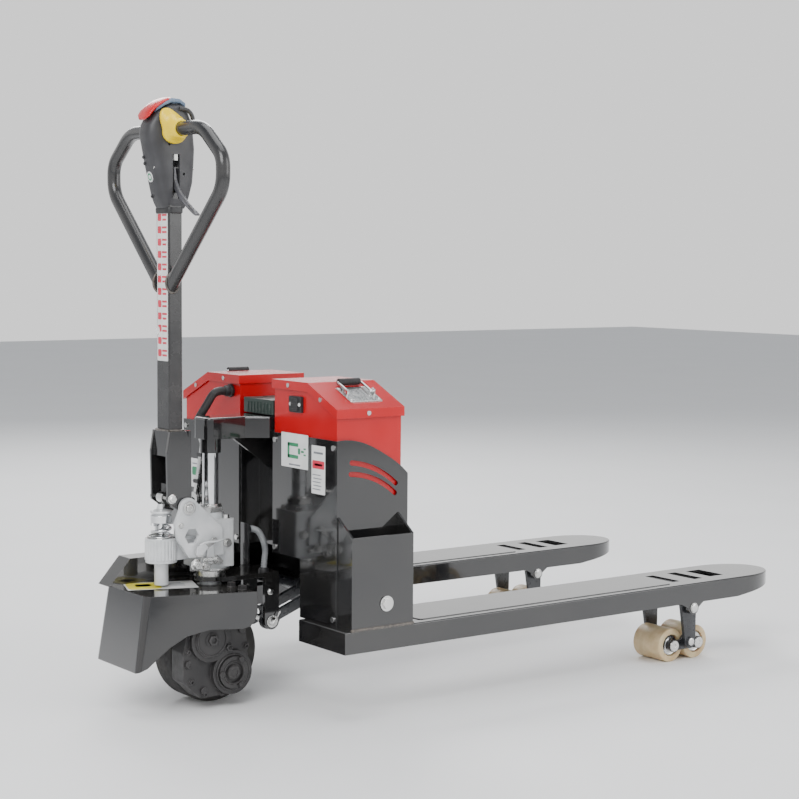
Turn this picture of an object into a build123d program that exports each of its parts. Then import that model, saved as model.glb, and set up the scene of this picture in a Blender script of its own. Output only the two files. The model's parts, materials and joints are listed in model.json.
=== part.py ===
"""Electric pallet truck: drive head with tiller, battery chassis, two forks and a coupled lift linkage.

Frame: +Z up, floor at Z = 0, X from the operator's end to the fork tips, Y across. The origin is on the
floor at the middle of the truck's length and width. The forks are modelled raised, millimetres throughout.
"""
from build123d import *

import os
from math import asin, atan2, cos, degrees, hypot, radians, sin

os.makedirs("parts", exist_ok=True)

# ---- driving dimensions -------------------------------------------------------------------------
fork_length = 1220.0        # heel to tip
fork_width = 160.0
fork_span = 685.0           # over both forks
fork_depth = 43.5
panel_rise = 1.5            # pressed load panel above the fork's edge
fork_top_low = 85.0         # load panel above the floor with the forks down
lift_travel = 95.0
nose_reach = 305.0          # drive cover ahead of the fork heel
sheet = 4.0                 # frame and fork plate
running = 0.05              # radial clearance of a running fit
drive_r = 98.0              # drive wheel radius
drive_tyre_w = 74.0
roller_r = 37.0             # load roller radius
roller_w = 82.0
tube_r = 13.5               # handle loop tube radius
pole_x_size = 30.0
pole_y_size = 50.0
ram_r = 16.0
box_top = 644.0             # battery lid above the floor
box_edge = 598.0            # lid's outer edge
head_half = 29.0            # half width of the control head

# ---- stations along the truck -------------------------------------------------------------------
heel_x = (nose_reach - fork_length) / 2
tip_x = heel_x + fork_length
nose_x = heel_x - nose_reach
frame_x0 = heel_x + 13.0
frame_x1 = heel_x + 181.0
ram_x = heel_x - 93.0       # ram and steering axis
hinge_x = heel_x - 168.0    # tiller hinge
plunger_x = heel_x - 205.0
pole_x = heel_x - 185.0
loop_x = heel_x - 192.0
axle_x = heel_x - 105.0     # drive wheel axle
link_x = heel_x + 24.0      # rocker to carrier pin
shaft_x = heel_x + 150.0    # rocker shaft
swing_x = heel_x + 932.0    # load wheel frame pivot
bogie_x = heel_x + 940.0    # bogie pin

# ---- heights ------------------------------------------------------------------------------------
panel_z = fork_top_low + lift_travel
fork_top = panel_z - panel_rise
fork_bottom = fork_top - fork_depth
fork_y = (fork_span - fork_width) / 2
half_span = fork_span / 2
inner_half = fork_width / 2 - sheet
hinge_z = 395.0
cover_top = 236.0
carrier_z = 241.0           # underside of the carrier plate
carrier_t = 9.0
bracket_z = 525.0           # underside of the ram bracket
bracket_h = 43.0
shelf_z = panel_z + 115.0   # underside of the battery shelf
panel_top = 538.0           # front panel's top edge
lid_half_y = 190.0          # where the lid starts to slope
side_y = 294.0              # outer face of the frame's side plates
case_y = 66.5               # battery case's inner side
lid_t = 2.5
lid_lip = 18.0
lid_slope = (box_top - box_edge) / (side_y - lid_half_y)
slope_angle = degrees(atan2(lid_slope, 1.0))
sides = (("right", -1), ("left", 1))

# ---- lift linkage -------------------------------------------------------------------------------
shaft_z = panel_z + 16.0
shaft_r = 12.0
link_z = shaft_z - lift_travel / 2        # the rocker arms stand level at mid travel
link_r = 7.0
reach = shaft_x - link_x
rocker_up = atan2(shaft_z - link_z, reach)
rocker_down = atan2(link_z - (shaft_z - lift_travel), reach)
rocker_swing = rocker_up + rocker_down
lever = 46.0                # rocker lever inside each fork
rod_travel = 2 * lever * sin(rocker_swing / 2)
swing_z = fork_bottom - 11.0
bogie_z = roller_r + 8.0
arm = hypot(bogie_x - swing_x, swing_z - bogie_z)
arm_rest = atan2(bogie_z - swing_z, bogie_x - swing_x)
arm_low = asin((bogie_z - (swing_z - lift_travel)) / arm)
arm_swing = arm_low - arm_rest
crank = rod_travel / (2 * sin(arm_swing / 2))
rod_pin_r = 6.0
rod_back = (shaft_x + lever * sin(rocker_swing / 2), shaft_z - lever * cos(rocker_swing / 2))
rod_front = (swing_x + crank * sin(arm_swing / 2), swing_z + crank * cos(arm_swing / 2))
rod_back_play = lever * (1 - cos(rocker_swing / 2)) / 2 + 0.6
rod_front_play = crank * (1 - cos(arm_swing / 2)) / 2 + 0.6
roller_pitch = 2 * roller_r + 1.0
wall_y = inner_half - 12.0  # load wheel frame arms, outer face from the fork's middle
arm_t = 8.0
bogie_y = roller_w / 2 + 2.0
bogie_t = 6.0
swing_pin_r = 9.0
bogie_pin_r = 8.0

# ---- tiller and plunger -------------------------------------------------------------------------
tiller_range = 75.0
roller_dx, roller_dz = -32.0, 19.0      # plunger roller from the tiller hinge
tappet_r = 10.5
plunger_ratio = -(32.0 * sin(radians(tiller_range)) + roller_dz * (1 - cos(radians(tiller_range)))) \
    / radians(tiller_range)
plunger_gap = 2.0
plunger_top = hinge_z + roller_dz - tappet_r - plunger_gap
ear_y = 37.0
yoke_y = 35.0
hinge_r = 8.0


def slab_y(points, y_low, y_high, mode=Mode.ADD, radius=0):
    """Extrude an X-Z outline from y_low to y_high."""
    with BuildSketch(Plane.XZ.offset(-y_low)) as outline:
        with BuildLine():
            Polyline(*points, close=True)
        make_face()
        if radius:
            fillet(outline.vertices(), radius)
    extrude(outline.sketch, amount=-(y_high - y_low), mode=mode)


def slab_z(points, z_low, z_high, mode=Mode.ADD, radius=0):
    """Extrude an X-Y outline from z_low to z_high."""
    with BuildSketch(Plane.XY.offset(z_low)) as outline:
        with BuildLine():
            Polyline(*points, close=True)
        make_face()
        if radius:
            fillet(outline.vertices(), radius)
    extrude(outline.sketch, amount=z_high - z_low, mode=mode)


def slab_x(points, x_low, x_high, mode=Mode.ADD, radius=0):
    """Extrude a Y-Z outline from x_low to x_high."""
    with BuildSketch(Plane.YZ.offset(x_low)) as outline:
        with BuildLine():
            Polyline(*points, close=True)
        make_face()
        if radius:
            fillet(outline.vertices(), radius)
    extrude(outline.sketch, amount=x_high - x_low, mode=mode)


def block(x_low, x_high, y_low, y_high, z_low, z_high, mode=Mode.ADD):
    """A box by its limits."""
    y_low, y_high = min(y_low, y_high), max(y_low, y_high)
    with BuildSketch(Plane.XY.offset(z_low)) as outline:
        with Locations(((x_low + x_high) / 2, (y_low + y_high) / 2)):
            Rectangle(x_high - x_low, y_high - y_low)
    extrude(outline.sketch, amount=z_high - z_low, mode=mode)


def rod_y(x, z, r, y_low, y_high, mode=Mode.ADD, inner=0):
    """A round bar along Y, hollow where inner is given."""
    y_low, y_high = min(y_low, y_high), max(y_low, y_high)
    with BuildSketch(Plane.XZ.offset(-y_low)) as outline:
        with Locations((x, z)):
            Circle(r)
            if inner:
                Circle(inner, mode=Mode.SUBTRACT)
    extrude(outline.sketch, amount=-(y_high - y_low), mode=mode)


def rod_z(x, y, r, z_low, z_high, mode=Mode.ADD, inner=0):
    """A round bar along Z, hollow where inner is given."""
    with BuildSketch(Plane.XY.offset(z_low)) as outline:
        with Locations((x, y)):
            Circle(r)
            if inner:
                Circle(inner, mode=Mode.SUBTRACT)
    extrude(outline.sketch, amount=z_high - z_low, mode=mode)


def rod_x(y, z, r, x_low, x_high, mode=Mode.ADD, inner=0):
    """A round bar along X, hollow where inner is given."""
    with BuildSketch(Plane.YZ.offset(x_low)) as outline:
        with Locations((y, z)):
            Circle(r)
            if inner:
                Circle(inner, mode=Mode.SUBTRACT)
    extrude(outline.sketch, amount=x_high - x_low, mode=mode)


def finish(piece, name):
    """Label a finished piece and write it."""
    piece.part.label = name
    export_step(piece.part, "parts/" + name + ".step")
    return piece


# ==== forks ======================================================================================
cavity_x = heel_x + 1110.0          # front end of the fork's channel
toe_x = heel_x + 1072.0             # where the toe's underside starts to rise
tip_round = 112.0
slots = ((914.0, 24.0, 86.0), (983.0, 26.0, 86.0), (1046.0, 42.0, 76.0))    # middle, length, width
load_panel = (heel_x + 192.0, heel_x + 884.0, 59.0)
lever_slot = (shaft_x - 48.0, shaft_x + 26.0, 14.0)

for side, sign in sides:
    y0 = sign * fork_y
    with BuildPart() as fork:
        with BuildSketch(Plane.XY.offset(fork_bottom)) as plan:
            with BuildLine():
                Polyline((tip_x - tip_round, y0 + fork_width / 2), (heel_x, y0 + fork_width / 2),
                         (heel_x, y0 - fork_width / 2), (tip_x - tip_round, y0 - fork_width / 2))
                EllipticalCenterArc((tip_x - tip_round, y0), tip_round, fork_width / 2, start_angle=-90, arc_size=180)
            make_face()
        extrude(amount=fork_depth)
        fillet(fork.faces().sort_by(Axis.Z)[-1].edges().filter_by(GeomType.LINE), 3.0)
        block(heel_x + sheet, cavity_x, y0 - inner_half, y0 + inner_half, fork_bottom - 1,
              fork_top - sheet, Mode.SUBTRACT)
        slab_y([(toe_x, fork_bottom - 1), (toe_x, fork_bottom), (tip_x + 1, fork_bottom + 19),
                (tip_x + 1, fork_bottom - 1)], y0 - fork_width, y0 + fork_width, Mode.SUBTRACT)
        for middle, length, width in slots:
            block(heel_x + middle - length / 2, heel_x + middle + length / 2, y0 - width / 2,
                  y0 + width / 2, fork_top - sheet - 1, fork_top + 1, Mode.SUBTRACT)
        slab_z([(load_panel[0], y0 - load_panel[2]), (load_panel[1], y0 - load_panel[2]),
                (load_panel[1], y0 + load_panel[2]), (load_panel[0], y0 + load_panel[2])],
               fork_top - 1, panel_z, radius=10)
        block(lever_slot[0], lever_slot[1], y0 - lever_slot[2], y0 + lever_slot[2],
              fork_top - sheet - 1, fork_top + 1, Mode.SUBTRACT)
        for lug in (-1, 1):
            lug_out, lug_in = y0 + lug * fork_width / 2, y0 + lug * (fork_width / 2 - 10)
            slab_y([(swing_x - 38, fork_bottom + 15), (swing_x + 38, fork_bottom + 15),
                    (swing_x + 30, fork_bottom), (swing_x + 15, swing_z), (swing_x - 15, swing_z),
                    (swing_x - 38, fork_bottom)], min(lug_out, lug_in), max(lug_out, lug_in))
            rod_y(swing_x, swing_z, 15.0, lug_out, lug_in)
            rod_y(swing_x, swing_z, swing_pin_r, lug_out, lug_in, Mode.SUBTRACT)
    finish(fork, "fork_" + side)

# ==== chassis frame ==============================================================================
tray_z = 541.0
post_x = heel_x + 60.0              # face of the recessed middle panel
bearing_y = 196.0                   # rocker bearing, inner face
bearing_w = 16.0
plate_in = side_y - sheet

with BuildPart() as frame_weldment:
    for sign in (-1, 1):
        with BuildSketch(Plane.XZ.offset(-sign * (side_y - (0 if sign < 0 else sheet)))) as cheek:
            with BuildLine():
                Polyline((heel_x + 13, panel_top), (frame_x0, fork_top), (frame_x1, fork_top),
                         (frame_x1, 467))
                Spline((frame_x1, 467), (heel_x + 157, 488), (heel_x + 125, 508), (heel_x + 90, 526),
                       (frame_x0, panel_top))
            make_face()
            for start, middle, end in (((47, 495), (105, 479), (152, 449)),
                                       ((45, 473), (104, 459), (150, 430))):
                with BuildLine() as curve:
                    ThreePointArc((heel_x + start[0], start[1]), (heel_x + middle[0], middle[1]),
                                  (heel_x + end[0], end[1]))
                SlotArc(curve.edges()[0], 10.0, mode=Mode.SUBTRACT)
        extrude(cheek.sketch, amount=-sheet)
    block(frame_x1 - sheet, frame_x1, -plate_in, plate_in, fork_top, 467)
    block(frame_x0 + sheet, frame_x1, -plate_in, plate_in, shelf_z, shelf_z + sheet)
    block(frame_x0, post_x, -61, 61, shelf_z - 1, shelf_z + sheet + 1, Mode.SUBTRACT)
    for sign in (-1, 1):
        block(frame_x0 + sheet, frame_x1, sign * 61, sign * 65, shelf_z, tray_z)
        near, far = sign * bearing_y, sign * (bearing_y + bearing_w)
        block(shaft_x - 20, frame_x1, near, far, fork_top, shaft_z + 20)
        rod_y(shaft_x, shaft_z, shaft_r + running, near - sign, far + sign, Mode.SUBTRACT)
    block(post_x, post_x + sheet, -61, 61, shelf_z, tray_z)
    block(post_x, frame_x1, -65, 65, tray_z, tray_z + sheet)
finish(frame_weldment, "frame_weldment")

notch_y = 166.0                     # the drive head turns under the panel's raised middle
panel_screw_places = ((74, shelf_z + 12), (74, panel_top - 14), (282, panel_top - 14), (282, fork_top + 14))
with BuildPart() as front_panels:
    for side, sign in sides:
        slab_x([(sign * 65, shelf_z), (sign * notch_y, shelf_z), (sign * notch_y, fork_top),
                (sign * plate_in, fork_top), (sign * plate_in, panel_top), (sign * 65, panel_top)],
               frame_x0, frame_x0 + sheet)
        for y, z in panel_screw_places:
            rod_x(sign * y, z, 3.0, frame_x0 - 1, frame_x0 + sheet + 1, Mode.SUBTRACT)
finish(front_panels, "front_panels")

bracket_nose = ram_x - 24
bracket_plan = [(bracket_nose, -30), (heel_x - 30, -30), (heel_x + 10, -58), (post_x, -58),
                (post_x, 58), (heel_x + 10, 58), (heel_x - 30, 30), (bracket_nose, 30)]
bracket_top = bracket_z + bracket_h
with BuildPart() as top_bracket:
    slab_z(bracket_plan, bracket_z, bracket_top)
    fillet(top_bracket.edges().filter_by(Axis.Z).group_by(Axis.X)[0], 14.0)
    fillet(top_bracket.faces().sort_by(Axis.Z)[-1].edges().filter_by(lambda e: e.center().X < post_x - 1), 4.0)
    with BuildSketch(Plane.XY.offset(bracket_z - 1)) as hollow:
        with BuildLine():
            Polyline(*bracket_plan, close=True)
        make_face()
        offset(amount=-5.0)
    extrude(hollow.sketch, amount=bracket_h - 5, mode=Mode.SUBTRACT)
    slab_y([(heel_x - 45, bracket_top - 3), (heel_x - 45, bracket_z), (post_x, bracket_z - 78),
            (post_x, bracket_top - 3)], -4, 4)
    rod_z(ram_x, 0, 21.0, bracket_z - 28, bracket_top - 5)
    rod_z(ram_x, 0, ram_r, bracket_z - 29, bracket_top - 6, Mode.SUBTRACT)
finish(top_bracket, "top_bracket")

stem_z = 2 * drive_r + 3.0          # foot of the pump's steering stem, just over the drive wheel
ram_foot = stem_z + 8.0 + lift_travel
with BuildPart() as lift_rod:
    rod_z(ram_x, 0, ram_r, ram_foot, bracket_top - 6)
    chamfer(lift_rod.faces().sort_by(Axis.Z)[0].edges(), 2.0)
finish(lift_rod, "lift_rod")

# ==== side pockets ===============================================================================
pocket_x0, pocket_x1 = heel_x + 15.0, heel_x + 160.0
pocket_top, pocket_root = 357.0, 392.0
pocket_bolt = (heel_x + 96.0, 225.0)
with BuildPart() as side_pockets:
    for side, sign in sides:
        out, skin = sign * half_span, sign * (half_span - sheet)
        block(pocket_x0, pocket_x1, out, skin, fork_top, pocket_top)
        block(pocket_x0, pocket_x1, out, sign * side_y, fork_top, fork_top + sheet)
        for x in (pocket_x0, pocket_x1 - sheet):
            slab_x([(sign * side_y, fork_top), (out, fork_top), (out, pocket_top),
                    (sign * side_y, pocket_root)], x, x + sheet)
        rod_y(*pocket_bolt, 8.0, out + sign, skin - sign, Mode.SUBTRACT)
finish(side_pockets, "side_pockets")

with BuildPart() as pocket_bolts:
    for side, sign in sides:
        skin = half_span - sheet
        rod_y(*pocket_bolt, 8.0, sign * skin, sign * half_span)
        rod_y(*pocket_bolt, 15.0, sign * half_span, sign * (half_span + 2.5))
        with BuildSketch(Plane.XZ.offset(-sign * (half_span + 2.5))) as hexagon:
            with Locations(pocket_bolt):
                RegularPolygon(11.0, 6)
        extrude(hexagon.sketch, amount=-sign * 4.0)
        rod_y(*pocket_bolt, 12.0, sign * (skin - 8), sign * skin)
finish(pocket_bolts, "pocket_bolts")

# ==== battery boxes ==============================================================================
lid_x0, lid_x1 = heel_x + 12.0, heel_x + 172.0
case_x0, case_x1 = frame_x0 + sheet, heel_x + 168.0
case_out = 288.0
case_z = shelf_z + sheet
with BuildPart() as battery_lids:
    for side, sign in sides:
        slab_x([(sign * 63, box_top), (sign * lid_half_y, box_top), (sign * side_y, box_edge),
                (sign * side_y, box_edge - lid_lip), (sign * lid_half_y, box_top - lid_lip),
                (sign * 63, box_top - lid_lip)], lid_x0, lid_x1)
        slab_x([(sign * (63 + lid_t), box_top - lid_t), (sign * lid_half_y, box_top - lid_t),
                (sign * (side_y - lid_t), box_top - lid_t - (side_y - lid_t - lid_half_y) * lid_slope),
                (sign * (side_y - lid_t), 400), (sign * (63 + lid_t), 400)],
               lid_x0 + lid_t, lid_x1 - lid_t, Mode.SUBTRACT)
finish(battery_lids, "battery_lids")

for side, sign in sides:
    rim = box_top - lid_t
    rim_out = rim - (case_out - lid_half_y) * lid_slope
    with BuildPart() as battery_case:
        slab_x([(sign * case_y, case_z), (sign * case_out, case_z), (sign * case_out, rim_out),
                (sign * lid_half_y, rim), (sign * case_y, rim)], case_x0, case_x1)
        block(case_x0 + lid_t, case_x1 - lid_t, sign * (case_y + lid_t), sign * (case_out - lid_t),
              case_z + lid_t, box_top, Mode.SUBTRACT)
    finish(battery_case, "battery_case_" + side)

with BuildPart() as battery_packs:
    for side, sign in sides:
        block(case_x0 + 10, case_x1 - 10, sign * (case_y + 10), sign * (case_out - 10),
              case_z + lid_t, 540)
    fillet(battery_packs.edges().filter_by(Axis.Z), 6.0)
finish(battery_packs, "battery_packs")

with BuildPart() as chassis_screws:
    for side, sign in sides:
        for y, z in panel_screw_places:
            rod_x(sign * y, z, 3.0, frame_x0, frame_x0 + sheet)
            rod_x(sign * y, z, 5.5, frame_x0 - 2.5, frame_x0)
        for y, z in ((124, box_top - 9), (238, box_top - 9 - 48 * lid_slope)):
            rod_x(sign * y, z, 4.5, lid_x0 - 2, lid_x0)
        rod_y(heel_x + 86, box_edge - 9, 4.5, sign * side_y, sign * (side_y + 2))
finish(chassis_screws, "chassis_screws")

# ==== carrying handles on the lids ===============================================================
plate_y, grip_reach, bail_r, grip_r, bail_lift = 244.0, 42.0, 3.0, 6.5, 8.0
plate_z = box_top - (plate_y - lid_half_y) * lid_slope
handle_x = heel_x + 98.0
tilt = radians(slope_angle)


def lid_plane(sign):
    """The lid's sloping face at its handle, local +Y across the truck."""
    return Plane(origin=(handle_x, sign * plate_y, plate_z), x_dir=(1, 0, 0),
                 z_dir=(0, sign * sin(tilt), cos(tilt)))


def bar_along(start, direction, r, length, mode=Mode.ADD):
    """A round bar from a point of the model along a direction."""
    with BuildSketch(Plane(origin=start, z_dir=direction)) as end_face:
        Circle(r)
    extrude(end_face.sketch, amount=length, mode=mode)


with BuildPart() as handle_plates:
    for side, sign in sides:
        slope = lid_plane(sign)
        with BuildSketch(slope) as base:
            RectangleRounded(76, 61, 4)
        extrude(base.sketch, amount=2.0)
        with BuildSketch(slope.offset(1.5)) as lugs:
            with Locations((-32.5, 0), (32.5, 0)):
                Rectangle(3.0, 12.0)
        extrude(lugs.sketch, amount=bail_lift + 3)
        bar_along(slope.from_local_coords((-40, 0, bail_lift)), (1, 0, 0), bail_r + running, 80, Mode.SUBTRACT)
finish(handle_plates, "handle_plates")

for side, sign in sides:
    slope = lid_plane(sign)
    uphill = -sign
    with BuildPart() as handle_bail:
        for x in (-27.0, 27.0):
            bar_along(slope.from_local_coords((x - 2.5, 0, bail_lift)), (1, 0, 0), 4.5, 5)
            bar_along(slope.from_local_coords((x, 0, bail_lift)), slope.y_dir * uphill, 2.4, grip_reach)
            bar_along(slope.from_local_coords((x, 0, bail_lift)), (1 if x > 0 else -1, 0, 0), bail_r, 7)
        far = uphill * grip_reach
        bar_along(slope.from_local_coords((-30.5, far, bail_lift)), (1, 0, 0), bail_r, 61.0)
        bar_along(slope.from_local_coords((-23.0, far, bail_lift)), (1, 0, 0), grip_r, 46.0)
    finish(handle_bail, "handle_bail_" + side)

# ==== electrics on the chassis ===================================================================
socket_y, socket_z = -149.0, 599.0
with BuildPart() as charging_socket:
    block(case_x0 - 6, case_x0, socket_y - 22, socket_y + 22, socket_z - 16, socket_z + 16)
    fillet(charging_socket.edges().filter_by(Axis.X), 4.0)
    rod_x(socket_y, socket_z, 11.0, case_x0 - 7, case_x0 - 2, Mode.SUBTRACT)
    rod_x(socket_y, socket_z, 3.0, case_x0 - 5, case_x0 - 1)
finish(charging_socket, "charging_socket")

cable_y, cable_z, cable_r = 100.0, 610.0, 9.0
with BuildPart() as cable_gland:
    rod_x(cable_y, cable_z, 14.0, case_x0 - 8, case_x0)
    rod_x(cable_y, cable_z, 12.0, case_x0 - 16, case_x0 - 8)
finish(cable_gland, "cable_gland")

cable_route = [(case_x0 - 16, cable_y, cable_z), (heel_x - 26, cable_y, cable_z), (heel_x - 76, 88, 548),
               (heel_x - 76, 30, 548)]


def bend_radii(route):
    """The largest tangent arc each corner's runs leave room for."""
    radii = []
    for a, b, c in zip(route, route[1:], route[2:]):
        first, second = Vector(*b) - Vector(*a), Vector(*c) - Vector(*b)
        turn = radians(first.get_angle(second))
        radii.append(0.45 * min(first.length, second.length) * cos(turn / 2) / sin(turn / 2))
    return radii


print("battery cable radii", [round(r, 1) for r in bend_radii(cable_route)])
with BuildPart() as battery_cable:
    with BuildLine() as cable_path:
        FilletPolyline(*cable_route, radius=bend_radii(cable_route))
    with BuildSketch(Plane(origin=cable_path.line @ 0, z_dir=cable_path.line % 0)):
        Circle(cable_r)
    sweep()
finish(battery_cable, "battery_cable")

controller_z = bracket_top + 2.0        # the controller reaches forward over the ram bracket
with BuildPart() as controller_box:
    block(heel_x + 18, frame_x1 - 12, -56, 56, controller_z, controller_z + 30)
    fillet(controller_box.edges().filter_by(Axis.Z), 4.0)
    block(post_x + 8, frame_x1 - 20, -50, 50, tray_z + sheet, controller_z + 1)
    for i in range(6):
        block(heel_x + 34 + 22 * i, heel_x + 40 + 22 * i, -48, 48, controller_z + 26, controller_z + 31,
              Mode.SUBTRACT)
finish(controller_box, "controller_box")

# ==== lift linkage ===============================================================================
eye_far = hypot(reach, shaft_z - link_z)
eye_near = reach
eye_slot_half = link_r + 3.9        # the pin runs in a slot: the linkage's open pivot
arm_dir = (-cos(rocker_up), -sin(rocker_up))
eye_out = (shaft_x + arm_dir[0] * (eye_far + 1), shaft_z + arm_dir[1] * (eye_far + 1))
eye_in = (shaft_x + arm_dir[0] * (eye_near - 1), shaft_z + arm_dir[1] * (eye_near - 1))
rocker_y = (25.0, 35.0)
lever_y = fork_y - 6.0


def bar_outline(start, end, half):
    """Corners of a straight bar between two points of the X-Z plane."""
    run = hypot(end[0] - start[0], end[1] - start[1])
    ox, oz = -(end[1] - start[1]) / run * half, (end[0] - start[0]) / run * half
    return [(start[0] + ox, start[1] + oz), (end[0] + ox, end[1] + oz),
            (end[0] - ox, end[1] - oz), (start[0] - ox, start[1] - oz)]


with BuildPart() as rocker:
    rod_y(shaft_x, shaft_z, shaft_r, -(fork_y + 12), fork_y + 12)
    for sign in (-1, 1):
        near, far = sign * rocker_y[0], sign * rocker_y[1]
        low, high = min(near, far), max(near, far)
        rod_y(shaft_x, shaft_z, 20.0, near, far)
        slab_y(bar_outline((shaft_x, shaft_z), eye_in, 10.0), low, high)
        slab_y(bar_outline(eye_in, eye_out, 17.5), low, high)
        rod_y(*eye_out, 17.5, near, far)
        rod_y(*eye_in, 17.5, near, far)
        slab_y(bar_outline(eye_in, eye_out, eye_slot_half), low - 1, high + 1, Mode.SUBTRACT)
        rod_y(*eye_out, eye_slot_half, low - 1, high + 1, Mode.SUBTRACT)
        rod_y(*eye_in, eye_slot_half, low - 1, high + 1, Mode.SUBTRACT)
        for edge in (-1, 1):
            foot = sign * fork_y + edge * 9.0
            foot_low, foot_high = foot - 3.0, foot + 3.0
            rod_y(shaft_x, shaft_z, 17.0, foot_low, foot_high)
            slab_y(bar_outline((shaft_x, shaft_z), rod_back, 10.0), foot_low, foot_high)
            rod_y(*rod_back, 11.0, foot_low, foot_high)
        rod_y(*rod_back, rod_pin_r, sign * fork_y - 12, sign * fork_y + 12)
finish(rocker, "rocker_arms")

rod_start = (rod_back[0], rod_back[1] - rod_back_play + 0.6)
rod_end = (rod_front[0], rod_front[1] + rod_front_play - 0.6)
with BuildPart() as push_rods:
    for side, sign in sides:
        y0 = sign * fork_y
        rod_y(*rod_start, 13.5, y0 - 5, y0 + 5)
        rod_y(*rod_end, 13.5, y0 - 5, y0 + 5)
        slab_y(bar_outline(rod_start, rod_end, 6.0), y0 - 5, y0 + 5)
        rod_y(*rod_start, rod_pin_r + rod_back_play, y0 - 6, y0 + 6, Mode.SUBTRACT)
        rod_y(*rod_end, rod_pin_r + rod_front_play, y0 - 6, y0 + 6, Mode.SUBTRACT)
finish(push_rods, "push_rods")

for side, sign in sides:
    y0 = sign * fork_y
    with BuildPart() as wheel_frame:
        for edge in (-1, 1):
            face = y0 + edge * wall_y
            back = face - edge * arm_t
            low, high = min(face, back), max(face, back)
            slab_y([(swing_x - 22, swing_z + 6), (swing_x - 14, swing_z + 22), rod_front,
                    (swing_x + 24, swing_z + 4), (bogie_x + 15, bogie_z), (bogie_x - 15, bogie_z)],
                   low, high)
            rod_y(*rod_front, 11.0, low, high)
            rod_y(bogie_x, bogie_z, 15.0, low, high)
            rod_y(swing_x, swing_z, swing_pin_r + running, low - 1, high + 1, Mode.SUBTRACT)
            rod_y(bogie_x, bogie_z, bogie_pin_r, face, y0 + edge * bogie_y)
            rod_y(bogie_x, bogie_z, 11.0, face, face + edge * 3)
        rod_y(*rod_front, rod_pin_r, y0 - wall_y, y0 + wall_y)
    finish(wheel_frame, "wheel_frame_" + side)

    with BuildPart() as bogie:
        for edge in (-1, 1):
            face = y0 + edge * (bogie_y + bogie_t)
            back = y0 + edge * bogie_y
            low, high = min(face, back), max(face, back)
            slab_y(bar_outline((bogie_x - roller_pitch / 2, roller_r), (bogie_x + roller_pitch / 2, roller_r),
                               11.0), low, high)
            for end in (-1, 1):
                rod_y(bogie_x + end * roller_pitch / 2, roller_r, 11.0, face, back)
            rod_y(bogie_x, bogie_z, 14.0, face, back)
            rod_y(bogie_x, bogie_z, bogie_pin_r + running, low - 1, high + 1, Mode.SUBTRACT)
        for end in (-1, 1):
            x = bogie_x + end * roller_pitch / 2
            rod_y(x, roller_r, 10.0, y0 - bogie_y - 1, y0 + bogie_y + 1)
            for edge in (-1, 1):
                cap = y0 + edge * (bogie_y + bogie_t)
                rod_y(x, roller_r, 13.5, cap - edge, cap + edge * 3.5)
    finish(bogie, "bogie_" + side)

    for place, end in (("rear", -1), ("front", 1)):
        x = bogie_x + end * roller_pitch / 2
        with BuildPart() as load_roller:
            rod_y(x, roller_r, roller_r, y0 - roller_w / 2, y0 + roller_w / 2)
            chamfer(load_roller.edges().filter_by(GeomType.CIRCLE), 2.0)
            rod_y(x, roller_r, 24.0, y0 - roller_w / 2, y0 - roller_w / 2 + 12, Mode.SUBTRACT)
            rod_y(x, roller_r, 24.0, y0 + roller_w / 2, y0 + roller_w / 2 - 12, Mode.SUBTRACT)
            rod_y(x, roller_r, 10.0 + running, y0 - roller_w, y0 + roller_w, Mode.SUBTRACT)
        finish(load_roller, "load_roller_" + place + "_" + side)

with BuildPart() as swing_pins:
    for side, sign in sides:
        for edge in (-1, 1):
            out = sign * fork_y + edge * fork_width / 2
            rod_y(swing_x, swing_z, swing_pin_r, out, sign * fork_y + edge * (wall_y - arm_t))
            rod_y(swing_x, swing_z, 11.0, out, out + edge * 2)
finish(swing_pins, "swing_pins")

# ==== carrier: the part of the head that doesn't steer =============================================
plate_y0, plate_y1 = 38.0, 46.0
carrier_top = carrier_z + carrier_t
collar_r = 34.0
stem_r = 22.0
clip_x = heel_x - 24.0
with BuildPart() as carrier_bracket:
    rod_z(ram_x, 0, collar_r, carrier_z, carrier_top)
    block(ram_x, link_x + 17, -plate_y1, plate_y1, carrier_z, carrier_top)
    rod_z(ram_x, 0, stem_r + running, carrier_z - 1, carrier_top + 1, Mode.SUBTRACT)
    for sign in (-1, 1):
        low, high = min(sign * plate_y0, sign * plate_y1), max(sign * plate_y0, sign * plate_y1)
        slab_y([(link_x - 17, carrier_top), (link_x - 17, link_z), (link_x + 17, link_z),
                (link_x + 17, carrier_top)], low, high)
        rod_y(link_x, link_z, 17.0, low, high)
        rod_y(link_x, link_z, link_r, low - 1, high + 1, Mode.SUBTRACT)
        rod_y(link_x - 4, link_z + 62, 4.0, low - 1, high + 1, Mode.SUBTRACT)
    block(clip_x - 2, clip_x + 2, -34, -6, carrier_top - 1, 352)
finish(carrier_bracket, "carrier_bracket")

with BuildPart() as link_pin:
    rod_y(link_x, link_z, link_r, -plate_y1, plate_y1)
    for sign in (-1, 1):
        rod_y(link_x, link_z, 10.5, sign * plate_y1, sign * (plate_y1 + 3))
finish(link_pin, "link_pin")

with BuildPart() as thrust_bearing:
    rod_z(ram_x, 0, 30.0, carrier_top, carrier_top + 11, inner=stem_r + 1)
finish(thrust_bearing, "thrust_bearing")

conduit_r = 6.5
conduit_route = [(clip_x + 2, -20, 338), (clip_x + 24, -20, 338), (clip_x + 39, -24, 318),
                 (clip_x + 44, -28, 292), (clip_x + 38, -30, 270), (clip_x + 38, -30, carrier_top)]
print("conduit radii", [round(r, 1) for r in bend_radii(conduit_route)])
with BuildPart() as conduit:
    with BuildLine() as conduit_path:
        FilletPolyline(*conduit_route, radius=bend_radii(conduit_route))
    with BuildSketch(Plane(origin=conduit_path.line @ 0, z_dir=conduit_path.line % 0)):
        Circle(conduit_r)
    sweep()
finish(conduit, "conduit")

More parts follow.
